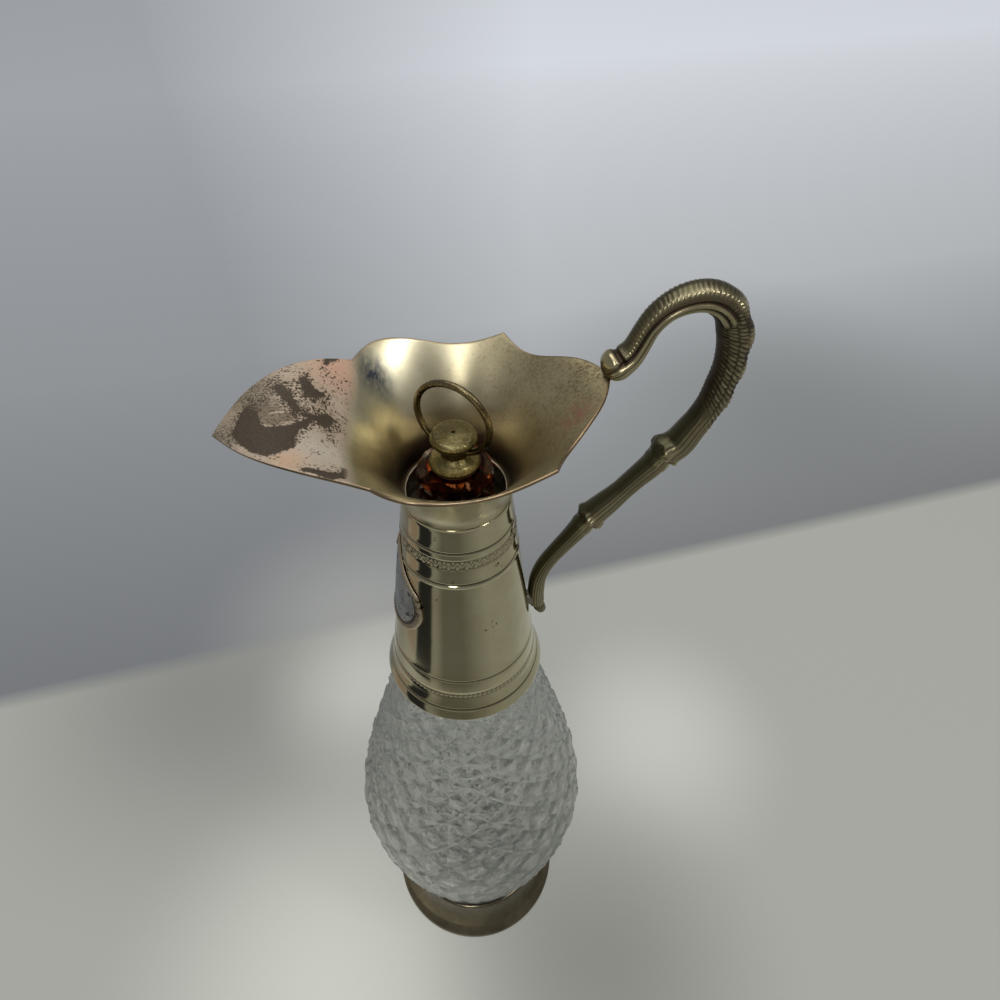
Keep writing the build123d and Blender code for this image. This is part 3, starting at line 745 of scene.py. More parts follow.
# %% Plate finishes
def plate(name, clean, warm, roughness, cover, stretch=(1.0, 1.0, 0.12), size=0.03, dips=False, trim=None):
    """Worn plate: a clean and a warm tone mixed by clouds, dark specks, dark dips and rubbed lines."""
    material, net = new_material(name)
    tarnish = net.effect(clouds, Size=size)
    tone = net.blend(tarnish, clean, warm)
    if trim:
        tone = net.blend(net.mark("trim"), tone, trim)
    tone = net.blend(net.effect(specks, Size=0.0016, Cover=cover, Edge=0.03), tone, (58, 50, 38))
    if dips:
        tone = net.blend(net.times(net.mark("dip"), 0.85), tone, (52, 44, 30))
    net.give({"Base Color": tone, "Roughness": net.ramp(tarnish, 0, 1, roughness, roughness * 1.5),
              "Metallic": 1.0})
    net.bump(net.effect(rub_lines, Stretch=stretch, Size=0.0004), 0.00002, 0.25)
    return material


collar_plate = plate("polished_worn_plate", (206, 199, 169), (192, 181, 146), 0.08, 0.07, dips=True)
dress(collar, collar_plate, "jug", "collar_sleeve", slot="collar_plate")

# %% [markdown]
# ## Ferrule
# A plain ring joins the spout to the collar. Only its top edge shows, as a thin bright arc in the dark
# throat.

# %% Ferrule
ferrule_lip = arc(12.62, 271.75, 0.27, 0, 180, 9)
ferrule_rows = np.concatenate([[(12.5, 264.5), (12.7, 264.5), (12.89, 264.7)], ferrule_lip, [(12.35, 264.7)]])
ferrule = grid_piece("throat_ferrule", turn_profile(ferrule_rows, 128), ring=True, sharp=50)
bright_plate = plate("bright_plate", (214, 206, 186), (190, 176, 150), 0.14, 0.1)
dress(ferrule, bright_plate, "jug", "neck_ferrule", slot="collar_plate")

# %% [markdown]
# ## Spout
# A disc of sheet is spun to a trumpet and then trimmed with shears to a long leaf, two round lobes and a
# heel. The same two steps work here: a spline for the trumpet's side, and a plan outline that says how far
# each column runs out along it. The corners of the outline get a column of their own, so they stay sharp.
# Soft folds run from the corners down to the throat.

# %% The trumpet and its outline
spout_thickness = 0.8
bell_side = dense_curve([(12.9, 270.6), (12.9, 272.0), (14.0, 276.0), (17.7, 283.0), (22.8, 290.0),
                         (28.0, 295.6), (33.0, 299.2), (40.0, 301.0), (54.0, 297.0)])
tip, notch, cusp, heel = (-51.5, 0.0), (-20.3, 22.0), (17.4, 25.1), (36.6, 0.0)
leaf_edge = ((0.25, 0.0943), (0.5, 0.1283), (0.75, 0.0943))
lobe_edge = ((0.15, 0.1242), (0.34, 0.1533), (0.62, 0.0899), (0.85, 0.0291))
tail_edge = ((0.22, -0.0285), (0.48, 0.0158), (0.74, 0.0506))


def trimmed(start, end, shares, count):
    """Spline from start to end through points along the chord, each set off to the left of it."""
    start, end = np.array(start), np.array(end)
    chord = end - start
    left = np.array([-chord[1], chord[0]])
    middle = [start + chord * part + left * bow for part, bow in shares]
    return even(dense_curve([start, *middle, end]), count + 1)[:-1]


half_plan = np.concatenate([trimmed(tip, notch, leaf_edge, 90), trimmed(notch, cusp, lobe_edge, 76),
                            trimmed(cusp, heel, tail_edge, 44), [heel]])
plan = np.concatenate([half_plan, (half_plan * (1, -1))[-2:0:-1]])[::-1]
plan_radius = np.hypot(*plan.T)
plan_angle = np.arctan2(plan[:, 1], plan[:, 0])
spout_rows = 84
side_length = lengths(bell_side)
reach = np.interp(plan_radius, bell_side[per_span:, 0], side_length[per_span:])
run = np.linspace(0, 1, spout_rows)[:, None] * reach
side_slope = directions(bell_side)
radius, height, slope_out, slope_up = (np.interp(run, side_length, column)
                                       for column in (*bell_side.T, *side_slope.T))


# %% Folds
def fold(at, width, top, bottom, depth):
    """A soft ridge along one direction: a bell curve of the angle, strongest between two radii."""
    away = np.angle(np.exp(1j * (plan_angle - np.radians(at))))
    along = smooth_step(bottom, bottom + 5, radius) * smooth_step(top + 4, top - 4, radius)
    return depth * bell(away, 0, np.radians(width)) * along


fold_shapes = [(148, 10, 27, 14, 0.45), (124, 9, 26, 15, -0.2), (60, 10, 26, 14, 0.25),
               (34, 13, 30, 15, -0.3)]
folds = sum(fold(side * at, *shape) for side in (1, -1) for at, *shape in fold_shapes)
folds += 0.9 * smooth_step(30, 50, radius) * np.abs(np.sin(plan_angle)) * (np.cos(plan_angle) < 0)
inner_side = around(radius - slope_up * folds, plan_angle, height + slope_out * folds)
normal = around(-slope_up, plan_angle, slope_out)
outer_side = inner_side - normal * spout_thickness
edge_out = around(slope_out[-1], plan_angle, slope_up[-1])
edge_turn = np.radians([60, 20, -20, -60])[:, None, None]
edge = np.sin(edge_turn) * normal[-1] * 0.5 + np.cos(edge_turn) * edge_out * 0.35
edge = (inner_side[-1] + outer_side[-1]) / 2 + edge * spout_thickness
spout_points = np.concatenate([inner_side, edge, outer_side[::-1]])

# %% [markdown]
# ### Marks for the worn leaf
# The plate has flaked from the leaf. Where dark metal shows, the patches have clear outlines, so each is
# drawn as a polygon in plan and every vertex stores its distance to the nearest edge, positive inside. The
# finish then roughens that distance with noise, which gives ragged edges that a drawn mask alone would not
# have.

# %% The worn leaf
patches = {
    "tip_patch": [
        (-46.8, -2.8), (-45.6, 0.7), (-44.9, 3.0), (-43.9, 4.4), (-41.7, 1.8), (-41.1, -2.3),
        (-39.7, -3.8), (-35.7, -3.4), (-33.7, -2.0), (-32.2, 0.0), (-30.7, 1.8), (-31.1, 0.2),
        (-32.2, -1.8), (-33.7, -4.1), (-34.4, -7.2), (-34.1, -9.7), (-35.5, -10.7), (-37.7, -12.1),
        (-39.8, -12.4), (-42.4, -10.4), (-45.2, -6.6)],
    "bar_one": [
        (-37.8, 10.3), (-36.5, 10.7), (-34.5, 7.4), (-33.2, 3.3), (-34.0, 2.7), (-35.6, 5.6),
        (-37.1, 8.0)],
    "bar_two": [
        (-32.5, 13.2), (-31.3, 13.8), (-29.6, 11.1), (-27.7, 9.9), (-29.3, 8.8), (-31.3, 8.5),
        (-32.2, 11.5)],
    "edge_strip": [
        (-32.9, -17.4), (-30.3, -17.5), (-27.7, -18.1), (-25.4, -17.5), (-25.1, -14.5), (-24.5, -14.7),
        (-24.9, -18.9), (-27.8, -20.9), (-30.1, -18.8), (-32.5, -18.2)],
    "notch_patch": [
        (-26.0, 21.4), (-23.7, 21.9), (-24.1, 21.0), (-25.5, 20.2), (-26.5, 18.9), (-26.8, 19.1)],
    "curl": [
        (-32.1, 2.1), (-29.6, 2.8), (-27.5, 4.9), (-26.4, 4.1), (-27.2, 2.1), (-28.4, 0.2),
        (-29.7, 1.2)],
}
streaks = [(-44.6, 5.3), (-39.7, 6.2), (-36.6, 3.8), (-33.6, 2.4), (-33.0, -1.0), (-35.7, -3.4),
           (-39.7, -3.4), (-43.5, 0.0)]
leaf_line = [(22.5, -20.8), (18.8, -20.7), (14.7, -21.6), (9.9, -22.8), (4.0, -23.9), (-3.5, -24.9),
             (-12.7, -24.6), (-22.4, -24.0)]


def inside_by(points, corners):
    """Distance of points to a polygon's edges, positive inside: the nearest point of each edge, and a count
    of the edges that a ray to the right crosses."""
    corners = np.asarray(corners, float)
    start, end = corners[:, None, :], np.roll(corners, -1, axis=0)[:, None, :]
    way = end - start
    part = np.clip(((points - start) * way).sum(-1) / (way**2).sum(-1), 0, 1)
    distance = np.linalg.norm(points - start - part[..., None] * way, axis=-1).min(axis=0)
    above = (start[..., 1] > points[:, 1]) != (end[..., 1] > points[:, 1])
    rise = np.where(way[..., 1] == 0, 1e-9, way[..., 1])
    cross = start[..., 0] + (points[:, 1] - start[..., 1]) * way[..., 0] / rise
    crossings = (above & (points[:, 0] < cross)).sum(axis=0)
    return np.where(crossings % 2 == 1, distance, -distance)


flat_points = spout_points[..., :2].reshape(-1, 2)
dark = np.max([inside_by(flat_points, corners) for corners in patches.values()], axis=0)
streaked = inside_by(flat_points, streaks)
line = np.array(leaf_line[::-1])
leaf = np.interp(flat_points[:, 1], line[:, 0], line[:, 1]) - flat_points[:, 0]
top_side, rim = np.zeros((2, *spout_points.shape[:2]))
top_side[: spout_rows + 1] = 1
rim[spout_rows - 1 : spout_rows + 5] = 1
spout_marks = {"dark": dark.clip(-6, 6), "streaked": streaked.clip(-6, 6), "leaf": leaf.clip(-8, 8),
               "top_side": top_side, "rim": rim}
spout = grid_piece("trimmed_spout", spout_points, ring=True, sharp=55, marks=spout_marks)

# %% [markdown]
# ### Satin plate with a flaked leaf
# The bell keeps a champagne satin. Its handle side has gone dull and finely speckled, its throat gets painted
# shade, and there is a bluish smudge at the notch and a pink one near the front cusp. On the leaf a rough
# pinkish ground shows, with dark patches, streaks and many specks. Each is a mask, and the tones are laid
# over each other.

# %% Spout finish
spout_plate, net = new_material("satin_plate_flaked_leaf")
ragged = net.minus(net.noise(net.place(), 1900.0, 5.0, 0.7), 0.5)
upper = net.math("GREATER_THAN", net.mark("top_side"), 0.5)
tarnish = net.effect(clouds, Size=0.012)
rubbed = net.effect(rub_lines, Stretch=(1.0, 0.25, 0.6), Size=0.0009)
dull = net.ramp(net.split(net.place())[0], -0.004, 0.03)
fine_specks = net.effect(specks, Size=0.0007, Cover=net.times(dull, 0.30), Edge=0.14)
heel_spots = net.effect(specks, Size=0.0007, Cover=net.spot(34.0, 2.0, 15.0, 0.26), Edge=0.08)
# Painted shade: a darker tone laid on the bell's upper side round the throat, strongest near the middle.
throat_shade = net.times(net.spot(0.0, 0.0, 23.0, 2.2), 0.75, True)
smudge = net.times(net.spot(-16.0, 20.6, 5.6, 1.3), net.ramp(rubbed, 0.25, 0.62), True)
pink = net.times(net.spot(27.0, -7.0, 5.0, 0.9), net.ramp(rubbed, 0.4, 0.6), True)
rim_tone = net.blend(tarnish, (150, 126, 98), (112, 90, 64))
satin = net.layers((208, 201, 172), (tarnish, (194, 184, 151)), (net.times(dull, 0.6), (182, 164, 118)),
                   (net.times(throat_shade, upper), (112, 94, 66)), (net.times(fine_specks, 0.42), (104, 86, 58)),
                   (net.times(heel_spots, 0.55), (94, 80, 58)), (net.times(smudge, upper), (86, 91, 102)),
                   (net.times(net.mark("rim"), 0.85), rim_tone), (net.times(pink, upper), (196, 128, 112)))

# %% Leaf finish
edge_noise = net.plus(net.mark("leaf"), net.times(ragged, 2.2))
on_leaf = net.times(net.ramp(edge_noise, -1.8, 1.2), upper)
flaked = net.times(net.ramp(edge_noise, -0.9, 0.9), upper)
ground = net.layers((192, 174, 154), (tarnish, (174, 155, 131)),
                    (net.spot(-24.5, 19.0, 9.0, 0.8), (206, 158, 132)),
                    (net.spot(-35.0, -14.0, 5.0, 0.7), (208, 166, 134)),
                    (net.spot(-28.5, -9.0, 9.0, 0.7), (208, 200, 184)))
from_patch, from_streaks = net.mark("dark"), net.mark("streaked")
dark_mask = net.ramp(net.plus(from_patch, net.times(ragged, 1.8)), -0.42, -0.16)
speck_cover = net.plus(net.ramp(from_patch, -2.5, 0.0, 0.14, 0.24), net.spot(-32.0, 5.0, 17.0, 0.15))
leaf_specks = net.effect(specks, Size=0.0006, Cover=speck_cover, Edge=0.03)
streak_level = net.effect(rub_lines, Stretch=(0.3, 1.0, 1.0), Size=0.0013)
streak_level = net.plus(streak_level, net.times(net.ramp(from_streaks, -1.5, 1.5), 0.22))
streak_mask = net.times(net.ramp(streak_level, 0.6, 0.68), net.ramp(from_streaks, -2.0, 0.5))
olive = net.plus(net.spot(-42.5, 8.5, 9.0, 1.5), net.spot(-50.0, -3.0, 8.0, 1.6), True)
olive = net.times(olive, net.ramp(ragged, -0.16, 0.06), True)
dark_tone = net.blend(net.ramp(ragged, -0.1, 0.2), (64, 52, 37), (84, 73, 57))
leaf_tone = net.layers(ground, (net.times(streak_mask, 0.8), (110, 96, 76)), (olive, (98, 90, 72)),
                       (leaf_specks, (72, 58, 42)), (dark_mask, dark_tone))
dark_here = net.times(net.most(dark_mask, leaf_specks), flaked)
gloss = net.plus(net.times(on_leaf, 0.25), net.ramp(dull, 0, 1, 0.29, 0.42))
net.give({"Base Color": net.layers(satin, (on_leaf, ground), (flaked, leaf_tone)), "Roughness": gloss,
          "Metallic": net.minus(1.0, net.times(on_leaf, 0.75))})
net.bump(net.plus(net.times(dark_here, -1.0), net.times(rubbed, 0.25)), 0.00006, 0.6)
dress(spout, spout_plate, "jug", "spout", slot="spout_plate")

# %% [markdown]
# ## Plaque
# A small shield is soldered to the collar under the spout. It is cut from sheet, bent to the collar and
# framed by a twisted wire. In polar form, rows run from its middle to its outline and over the edge to its
# back, and the columns follow the outline. Whatever such a field carries is left off, so it is bare.

# %% Plaque
shield_points = [(0.0, 258.5), (4.77, 249.7), (10.8, 243.43), (12.6, 235.4), (8.8, 227.0), (0.0, 225.0)]
top_arc = dense_curve(shield_points[:3])
bowl = dense_curve(shield_points[2:])
half_shield = even(np.concatenate([top_arc, bowl[1:]]), 121)
shield = np.concatenate([half_shield, (half_shield * (-1, 1))[-2:0:-1]])
shield_middle = np.array([0.0, 238.5])
shield_length = lengths(np.concatenate([shield, shield[:1]]))[:-1]
wire_twists, wire_at, wire_half = 76, 0.93, 0.055


def plaque_level(part):
    """Height of the face over the collar: a gentle dome, a channel, and a wire twisted like a rope."""
    phase = 2 * np.pi * wire_twists * shield_length / shield_length[-1]
    rope = np.sqrt(np.clip(1 - ((part - wire_at) / wire_half) ** 2, 0, 1))
    twist = 0.68 + 0.32 * np.cos(phase + 32 * (part - wire_at))
    dome = 0.15 * (1 - (part / 0.8) ** 2).clip(0)
    return 0.5 + dome + 0.45 * rope * twist


face_parts = np.concatenate([np.linspace(0.04, 0.78, 12), np.linspace(0.81, 0.985, 15)])[:, None]
back_parts = np.array([1.0, 1.0, 0.97, 0.5, 0.05])[:, None]
back_levels = np.array([0.4, 0.25, 0.16, 0.16, 0.16])[:, None]
parts = np.concatenate([face_parts, back_parts])
levels = np.concatenate([plaque_level(face_parts), np.repeat(back_levels, len(shield), axis=1)])
flat_shield = shield_middle + parts[..., None] * (shield - shield_middle)
from_axis = collar_radius(flat_shield[..., 1])
plaque_depth = np.sqrt(np.maximum(from_axis**2 - flat_shield[..., 0] ** 2, 1.0))
out_x, out_y = -plaque_depth / from_axis, flat_shield[..., 0] / from_axis
raised = from_axis + levels * (1 - 0.5 * smooth_step(247, 257, flat_shield[..., 1]))
plaque_points = np.stack([out_x * raised, out_y * raised, flat_shield[..., 1]], axis=-1)
wire_mark = np.clip((0.85 - levels) / 0.3, 0, 1) * (np.abs(parts - 0.875) < 0.045)
trim_mark = smooth_step(0.84, 0.88, parts) * np.ones_like(levels)
plaque = grid_piece("shield_plaque", plaque_points, sharp=60, marks={"dip": wire_mark, "trim": trim_mark})
plaque_plate = plate("pale_plaque_plate", (190, 197, 198), (140, 147, 150), 0.36, 0.16, (1.0, 1.0, 1.0),
                     0.0035, dips=True, trim=(204, 190, 164))
dress(plaque, plaque_plate, "jug", "plaque", slot="plaque_metal")

# %% [markdown]
# ## Handle
# The handle is one casting. A round lobe ends it at the spout. Its upper loop has fine ribs and a row of
# commas outside, rows of scales further down and smooth rails inside. Its lower half is made of two leaf
# sheaths with veins, each ending in a knuckle, then a slender stem with a curled end. A path through points
# gives the middle line and the thickness. The ornament is a height over the distance along the bar and the
# angle round it, so scales, veins and knuckles are each a formula.

# %% The handle's path
handle_path = [(38.2, 302.85, 3.8), (40.96, 305.02, 3.0), (42.67, 308.2, 2.7), (44.3, 312.24, 2.85),
               (47.32, 315.88, 3.25), (51.63, 317.91, 3.65), (56.93, 317.92, 3.95), (62.25, 314.52, 4.3),
               (65.29, 308.59, 4.05), (66.4, 300.53, 3.75), (65.7, 293.13, 3.8), (63.44, 285.05, 3.55),
               (59.86, 278.3, 3.45), (57.48, 274.86, 3.9), (54.51, 272.75, 4.1), (53.34, 270.83, 3.2),
               (48.82, 265.41, 2.95), (44.49, 260.44, 2.88), (40.61, 256.35, 3.35), (38.12, 253.88, 3.7),
               (36.17, 251.51, 2.85), (32.37, 245.97, 2.55), (28.16, 239.99, 2.4), (24.72, 234.29, 2.4),
               (22.91, 228.59, 2.4), (22.52, 222.63, 2.45), (22.79, 217.49, 2.5), (24.49, 212.6, 1.6)]
handle_path = np.array(handle_path)
middle_line = dense_curve(handle_path[:, :2])
along_line = lengths(middle_line)
thickness = np.interp(along_line, along_line[::per_span], handle_path[:, 2])
head_radius, tail_radius = handle_path[0, 2], handle_path[-1, 2]
before = middle_line[0] - unit(middle_line[1] - middle_line[0]) * head_radius
after = middle_line[-1] + unit(middle_line[-1] - middle_line[-2]) * tail_radius
middle_line = np.concatenate([[before], middle_line, [after]])
thickness = np.concatenate([[head_radius], thickness, [tail_radius]])
along_line = lengths(middle_line)
bar_length = along_line[-1]
handle_rows, handle_columns = 880, 104
ends = 1 - np.cos(np.linspace(0, np.pi / 2, 13))[1:]
straight = np.linspace(4.95, bar_length - 3.3, handle_rows - 24)
where = np.concatenate([ends * 4.8, straight, bar_length - ends[::-1] * 3.2])
line_x, line_z = (np.interp(where, along_line, middle_line[:, side]) for side in (0, 1))
knuckles = [along_line[1 + per_span * number] for number in (14, 19)]
way = np.stack([np.gradient(line_x, where), np.gradient(line_z, where)], axis=1)
way /= np.linalg.norm(way, axis=1)[:, None]
outward = np.stack([-way[:, 1], way[:, 0]], axis=1)
print("the bar is", bar_length.round(), "mm long, its knuckles lie at", np.round(knuckles), "mm")

# %% The bar without its ornament
s, turn_round = where[:, None], columns_round(handle_columns)
from_outside = np.degrees(np.abs(np.angle(np.exp(1j * turn_round))))
three_leaves = np.cos(3 * turn_round)
near_knuckles = sum(bell(s, knuckle + 1.5, 3.2) for knuckle in knuckles)
read_at = np.clip(s - (0.9 * np.abs(three_leaves) - 0.5) * near_knuckles, 0, bar_length)
bar = np.interp(read_at, along_line, thickness)
for end_distance, end_radius in ((s, head_radius), (bar_length - s, tail_radius)):
    bar = bar * np.sqrt(np.clip(1 - (1 - end_distance / end_radius).clip(0) ** 2, 0, 1))
bar = bar - 0.75 * bell(bar_length - s, 4.4, 0.8)
for knuckle in knuckles:
    past = read_at - knuckle
    hollow = smooth_step(0.9, 1.4, past) * smooth_step(4.5, 1.6, past)
    bar = bar + 0.55 * bell(past, 0.2, 1.0) - 0.5 * hollow


# %% The handle's ornament
def within(value, low, high, soft):
    """1 between two limits, 0 outside, with soft edges."""
    return smooth_step(low - soft, low + soft, value) * smooth_step(high + soft, high - soft, value)


loop_top = along_line[1 + per_span * 6]
sheath_start = knuckles[0] - 17
pitch = 0.95 + 0.4 * smooth_step(loop_top, loop_top + 14, where)
beats = np.concatenate([[0], np.cumsum(np.diff(where) / pitch[1:])])[:, None]
rib = beats + 0.010 * from_outside + 0.12 * np.sin(0.9 * s) + 0.08 * np.sin(2.3 * s + from_outside / 20)
up_the_loop = within(s, 6.5, loop_top + 2, 1.5)
down_the_loop = within(s, loop_top - 2, sheath_start + 3 - 3.5 * three_leaves, 3.0)
fine_ribs = (0.5 + 0.5 * np.cos(2 * np.pi * rib)) * smooth_step(72, 55, from_outside)
commas = bell(from_outside, 50, 9) * np.clip(np.cos(2 * np.pi * (rib + 0.012 * from_outside)), 0, 1)
rows_down = np.clip((from_outside - 34) / 33, 0, 3.999)
row, in_row = np.floor(rows_down), 2 * (rows_down % 1) - 1
wander = 0.12 * np.sin(0.83 * s + 2.1 * row) + 0.06 * np.sin(2.9 * s + 1.3 * row)
slanted = (beats + 0.35 * row + 0.62 * in_row + 0.12 * in_row**2 + wander) % 1
tooth = smooth_step(0.0, 0.6, slanted) * smooth_step(1.0, 0.72, slanted)
scales = tooth * (1 - 0.8 * in_row**4) * within(from_outside, 33, 166, 3)
scales = scales * smooth_step(172, 112, from_outside)
scales = scales * (0.72 + 0.28 * np.sin(2.3 * s + 2.6 * row) * np.sin(0.71 * s + row))
swells = 0.36 * np.cos(2 * np.pi * (s - 54) / 8.8) * smooth_step(84, 30, from_outside)
rails = within(s, 0.2, loop_top + 1.5, 1.0)
near_head = smooth_step(0.7 * loop_top, 3, s)
rail_at = from_outside + 24 * near_head
wider = 1 + 0.6 * near_head
rail_profile = bell(rail_at, 104, 7 * wider) + bell(rail_at, 130, 8 * wider)
rail_profile = rail_profile - 0.9 * bell(rail_at, 89, 5 * wider)
rail_profile = rail_profile - 0.9 * bell(rail_at, 117, 3.5) - 0.5 * bell(from_outside, 147, 6)
veined = smooth_step(sheath_start - 1, sheath_start + 3, s - 2.5 * three_leaves)
veins = (np.abs(np.cos(10 * turn_round)) ** 0.6 - 0.6) * smooth_step(146, 126, from_outside)
leaf_tips = near_knuckles * (0.5 + 0.5 * np.cos(6 * turn_round)) * smooth_step(150, 120, from_outside)
outer_half = smooth_step(74, 64, from_outside)
lobe = outer_half * (0.35 * within(s, 0.4, 4.2, 0.8) - 0.55 * bell(s, 5.2, 0.7))

# %% The handle's mesh
ornament = up_the_loop * (0.085 * (fine_ribs - 0.5) + 0.30 * commas)
ornament = ornament + down_the_loop * (0.34 * (scales - 0.4) + swells)
ornament = ornament + 0.42 * rails * rail_profile * smooth_step(0.3, 1.5, s) + lobe
ornament = ornament + veined * 0.28 * veins * smooth_step(0.5, 4, bar_length - s) + 0.18 * leaf_tips
ornament = ornament * smooth_step(0.2, 1.5, s) * smooth_step(0.1, 1.0, bar_length - s)
bar = bar + ornament
in_plane = np.cos(turn_round) * bar
handle_points = np.stack([line_x[:, None] + outward[:, :1] * in_plane, np.sin(turn_round) * bar,
                          line_z[:, None] + outward[:, 1:] * in_plane], axis=-1)
worn = np.clip(0.45 + ornament * 1.8 - 0.2 * outer_half * within(s, 0, 4.6, 0.6), 0, 1)
inner_side = smooth_step(118, 140, from_outside) * smooth_step(sheath_start - 6, sheath_start + 4, s)
inner_side = np.maximum(inner_side, 0.75 * up_the_loop * smooth_step(40, 18, from_outside))
handle = grid_piece("cast_handle", handle_points, marks={"worn": worn, "inner_side": inner_side})

# %% [markdown]
# ### Bronzed casting
# A casting goes dark in its hollows, and hands keep its high places bright. The mark that the ornament left
# on the mesh drives both the colour and the gloss.

# %% Handle finish
bronze, net = new_material("bronzed_nickel_casting")
high = net.ramp(net.mark("worn"), 0.25, 0.8)
tarnish = net.effect(clouds, Size=0.008)
tone = net.layers((62, 52, 42), (high, (192, 182, 144)), (net.times(tarnish, 0.45), (110, 96, 76)),
                  (net.times(net.mark("inner_side"), 0.8), (70, 70, 52)))
net.give({"Base Color": tone, "Roughness": net.ramp(high, 0, 1, 0.5, 0.24), "Metallic": 1.0})
net.bump(net.effect(rub_lines, Size=0.0006), 0.00004, 0.5)
dress(handle, bronze, "jug", "handle", slot="handle_metal")

# %% [markdown]
# ## Stopper
# A body of amber glass carries a turned brass knob. The glass is cut in staggered rows, so twelve sides in
# one row meet the corners of the next. The same trick as on the bottle does it: every second point lies
# lower, and the diagonals run along the cuts.

# %% Amber glass
amber_rows = np.array([(8.5, 262.0), (9.3, 263.4), (9.6, 265.6), (9.6, 268.8), (9.6, 272.0), (9.6, 275.2),
                       (9.55, 277.2), (9.25, 278.6), (7.3, 279.65), (2.15, 279.8), (2.15, 262.0)])
lower_by = np.array([0.1, 0.15, 0.2, 0.3, 0.3, 0.3, 0.3, 0.25, 0.05, 0.0, 0.0])
amber_columns = 24
row_number, column_number = np.indices((len(amber_rows), amber_columns))
even_places = (row_number + column_number) % 2 == 0
amber_push = np.where(even_places, 0.0, -lower_by[:, None])
amber = grid_piece("amber_stopper_glass", turn_profile(amber_rows, amber_columns, amber_push), ring=True,
                   crossed=even_places, sharp=24)
amber_glass, net = new_material("amber_glass")
net.give({"Base Color": (0.21, 0.042, 0.007, 1.0), "Transmission Weight": 1.0, "IOR": 1.52,
          "Specular Tint": (0.22, 0.09, 0.03, 1.0), "Roughness": 0.07})
dress(amber, amber_glass, "stopper", "stopper_glass", slot="amber_glass")

# %% Brass knob
skirt = dense_curve([(6.15, 281.15), (5.6, 281.9), (4.4, 282.6), (3.4, 283.3)], 6)
disc_rim = arc(4.3, 287.85, 1.35, -90, 90, 15)
flange = [(0.5, 280.2), (6.0, 280.2), (6.25, 280.3), (6.3, 280.5), (6.3, 280.85), (6.25, 281.0)]
waist = [(3.4, 284.6), (3.4, 286.2), (3.6, 286.46)]
crown = [(3.4, 289.32), (2.2, 289.48), (1.1, 289.58), (0.55, 289.58), (0.45, 289.4), (0.4, 289.0),
         (0.1, 288.98)]
knob_rows = np.concatenate([flange, skirt, waist, disc_rim, crown])
knob = grid_piece("brass_knob", turn_profile(knob_rows, 96), sharp=50)


def brass(name, bright, dull, roughness, cover):
    """Dull brass with a mottled grain: clouds, fine specks and a pitted surface."""
    material, net = new_material(name)
    spots = net.effect(specks, Size=0.0005, Cover=cover, Edge=0.12)
    tone = net.layers(bright, (net.effect(clouds, Size=0.004), dull), (net.times(spots, 0.6), (66, 52, 22)))
    net.give({"Base Color": tone, "Roughness": net.ramp(spots, 0, 1, roughness, roughness + 0.2),
              "Metallic": 1.0})
    net.bump(net.effect(rub_lines, Size=0.0004), 0.00004, 0.6)
    return material


knob_brass = brass("dull_speckled_brass", (134, 124, 86), (108, 97, 60), 0.34, 0.28)
dress(knob, knob_brass, "stopper", "stopper_knob", slot="brass")

# %% [markdown]
# ## Pull ring
# The ring is round wire, bent to an almost full circle whose two ends turn in to pins in the knob's waist.
# A path of points is carried round that shape, and a circle is swept along it.

# %% Pull ring
wire, ring_radius, ring_rise, pin_bend, pin_end = 0.85, 9.55, 8.6, 1.2, 0.6
hinge_height, ring_angle = 284.8, np.radians(-40)
bend_x = np.sqrt((ring_radius - pin_bend) ** 2 - (ring_rise - pin_bend) ** 2)
toward = np.arctan2(pin_bend - ring_rise, bend_x)
hoop_turn = np.linspace(toward, np.pi - toward, 161)
hoop = np.stack([ring_radius * np.cos(hoop_turn), ring_rise + ring_radius * np.sin(hoop_turn)], axis=1)
bend_turn = np.linspace(-np.pi / 2, toward, 13)[1:-1]
bend = np.stack([bend_x + pin_bend * np.cos(bend_turn), pin_bend + pin_bend * np.sin(bend_turn)], axis=1)
pin = np.stack([np.linspace(pin_end, bend_x, 8), np.zeros(8)], axis=1)
half = np.concatenate([pin, bend])
wire_line = np.concatenate([half, hoop, half[::-1] * (-1, 1)])
way = directions(wire_line)
wire_turn = columns_round(24)
off = np.cos(wire_turn) * wire
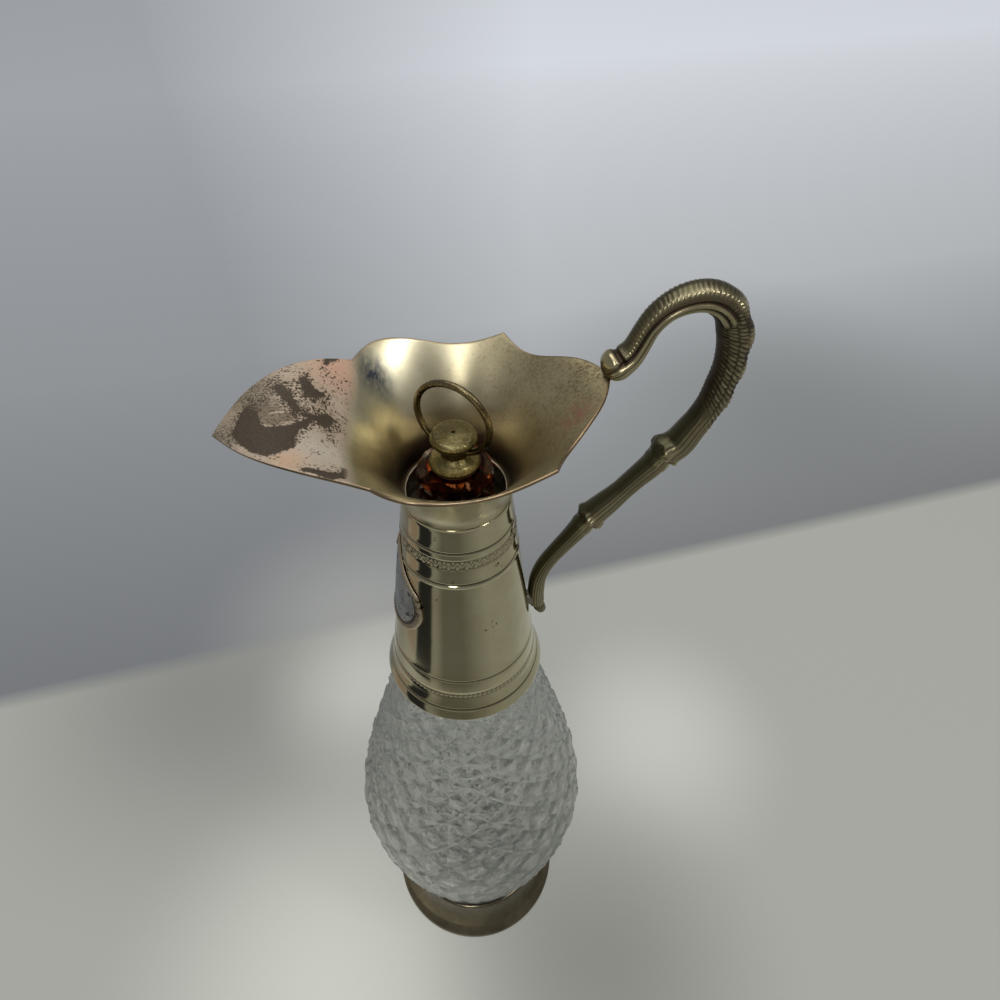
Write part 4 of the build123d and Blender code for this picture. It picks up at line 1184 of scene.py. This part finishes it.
flat = wire_line[:, None, :] + np.stack([-way[:, 1:] * off, way[:, :1] * off], axis=-1)
axis = np.array([np.cos(ring_angle), np.sin(ring_angle)])
sideways = np.array([-axis[1], axis[0]])
ring_flat = flat[..., :1] * axis + (np.sin(wire_turn) * wire)[:, None] * sideways
ring_points = np.concatenate([ring_flat, flat[..., 1:] + hinge_height], axis=-1)
ring = grid_piece("pull_ring_wire", ring_points)
ring_brass = brass("dark_ring_brass", (132, 120, 90), (98, 86, 60), 0.22, 0.24)
dress(ring, ring_brass, "ring", "pull_ring", slot="ring_brass")


# %% [markdown]
# ## Pieces that mostly hide
# Plaster, solder, cork, washers, nut and stud keep their CAD shapes, which are right as they are. Each
# still gets a finish of its own, because the plaster shows through the glass and the rest shows when the
# stopper lifts.


# %% Finishes of the hidden pieces
def matt(name, light, dark, size, roughness, metallic=0.0, depth=0.0001):
    """A plain rough finish: two tones mixed by clouds, with a grain of the same kind."""
    material, net = new_material(name)
    tone = net.blend(net.effect(clouds, Size=size), light, dark)
    net.give({"Base Color": tone, "Roughness": roughness, "Metallic": metallic})
    net.bump(net.effect(rub_lines, Size=size * 0.2), depth, 0.5)
    return material


finishes = [(matt("setting_plaster", (150, 146, 134), (112, 106, 94), 0.006, 0.9), "foot_plaster",
             "collar_plaster"),
            (matt("stopper_cork", (188, 150, 108), (140, 102, 66), 0.003, 0.85), "stopper_cork"),
            (matt("pressed_fibre", (104, 74, 50), (78, 54, 36), 0.002, 0.8), "knob_washer"),
            (matt("soft_solder", (150, 146, 136), (110, 104, 92), 0.002, 0.4, 1.0, 0.00004), "plaque_solder",
             "upper_handle_solder", "lower_handle_solder"),
            (brass("plain_brass", (190, 166, 104), (160, 136, 78), 0.3, 0.15), "end_washer", "end_nut",
             "stopper_stud")]
for finish, *names in finishes:
    for name in names:
        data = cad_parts[name].data
        if not data.materials:
            data.materials.append(finish)
        for slot_number in range(len(data.materials)):
            data.materials[slot_number] = finish
print(sum(len(names) for _, *names in finishes), "CAD nodes dressed")
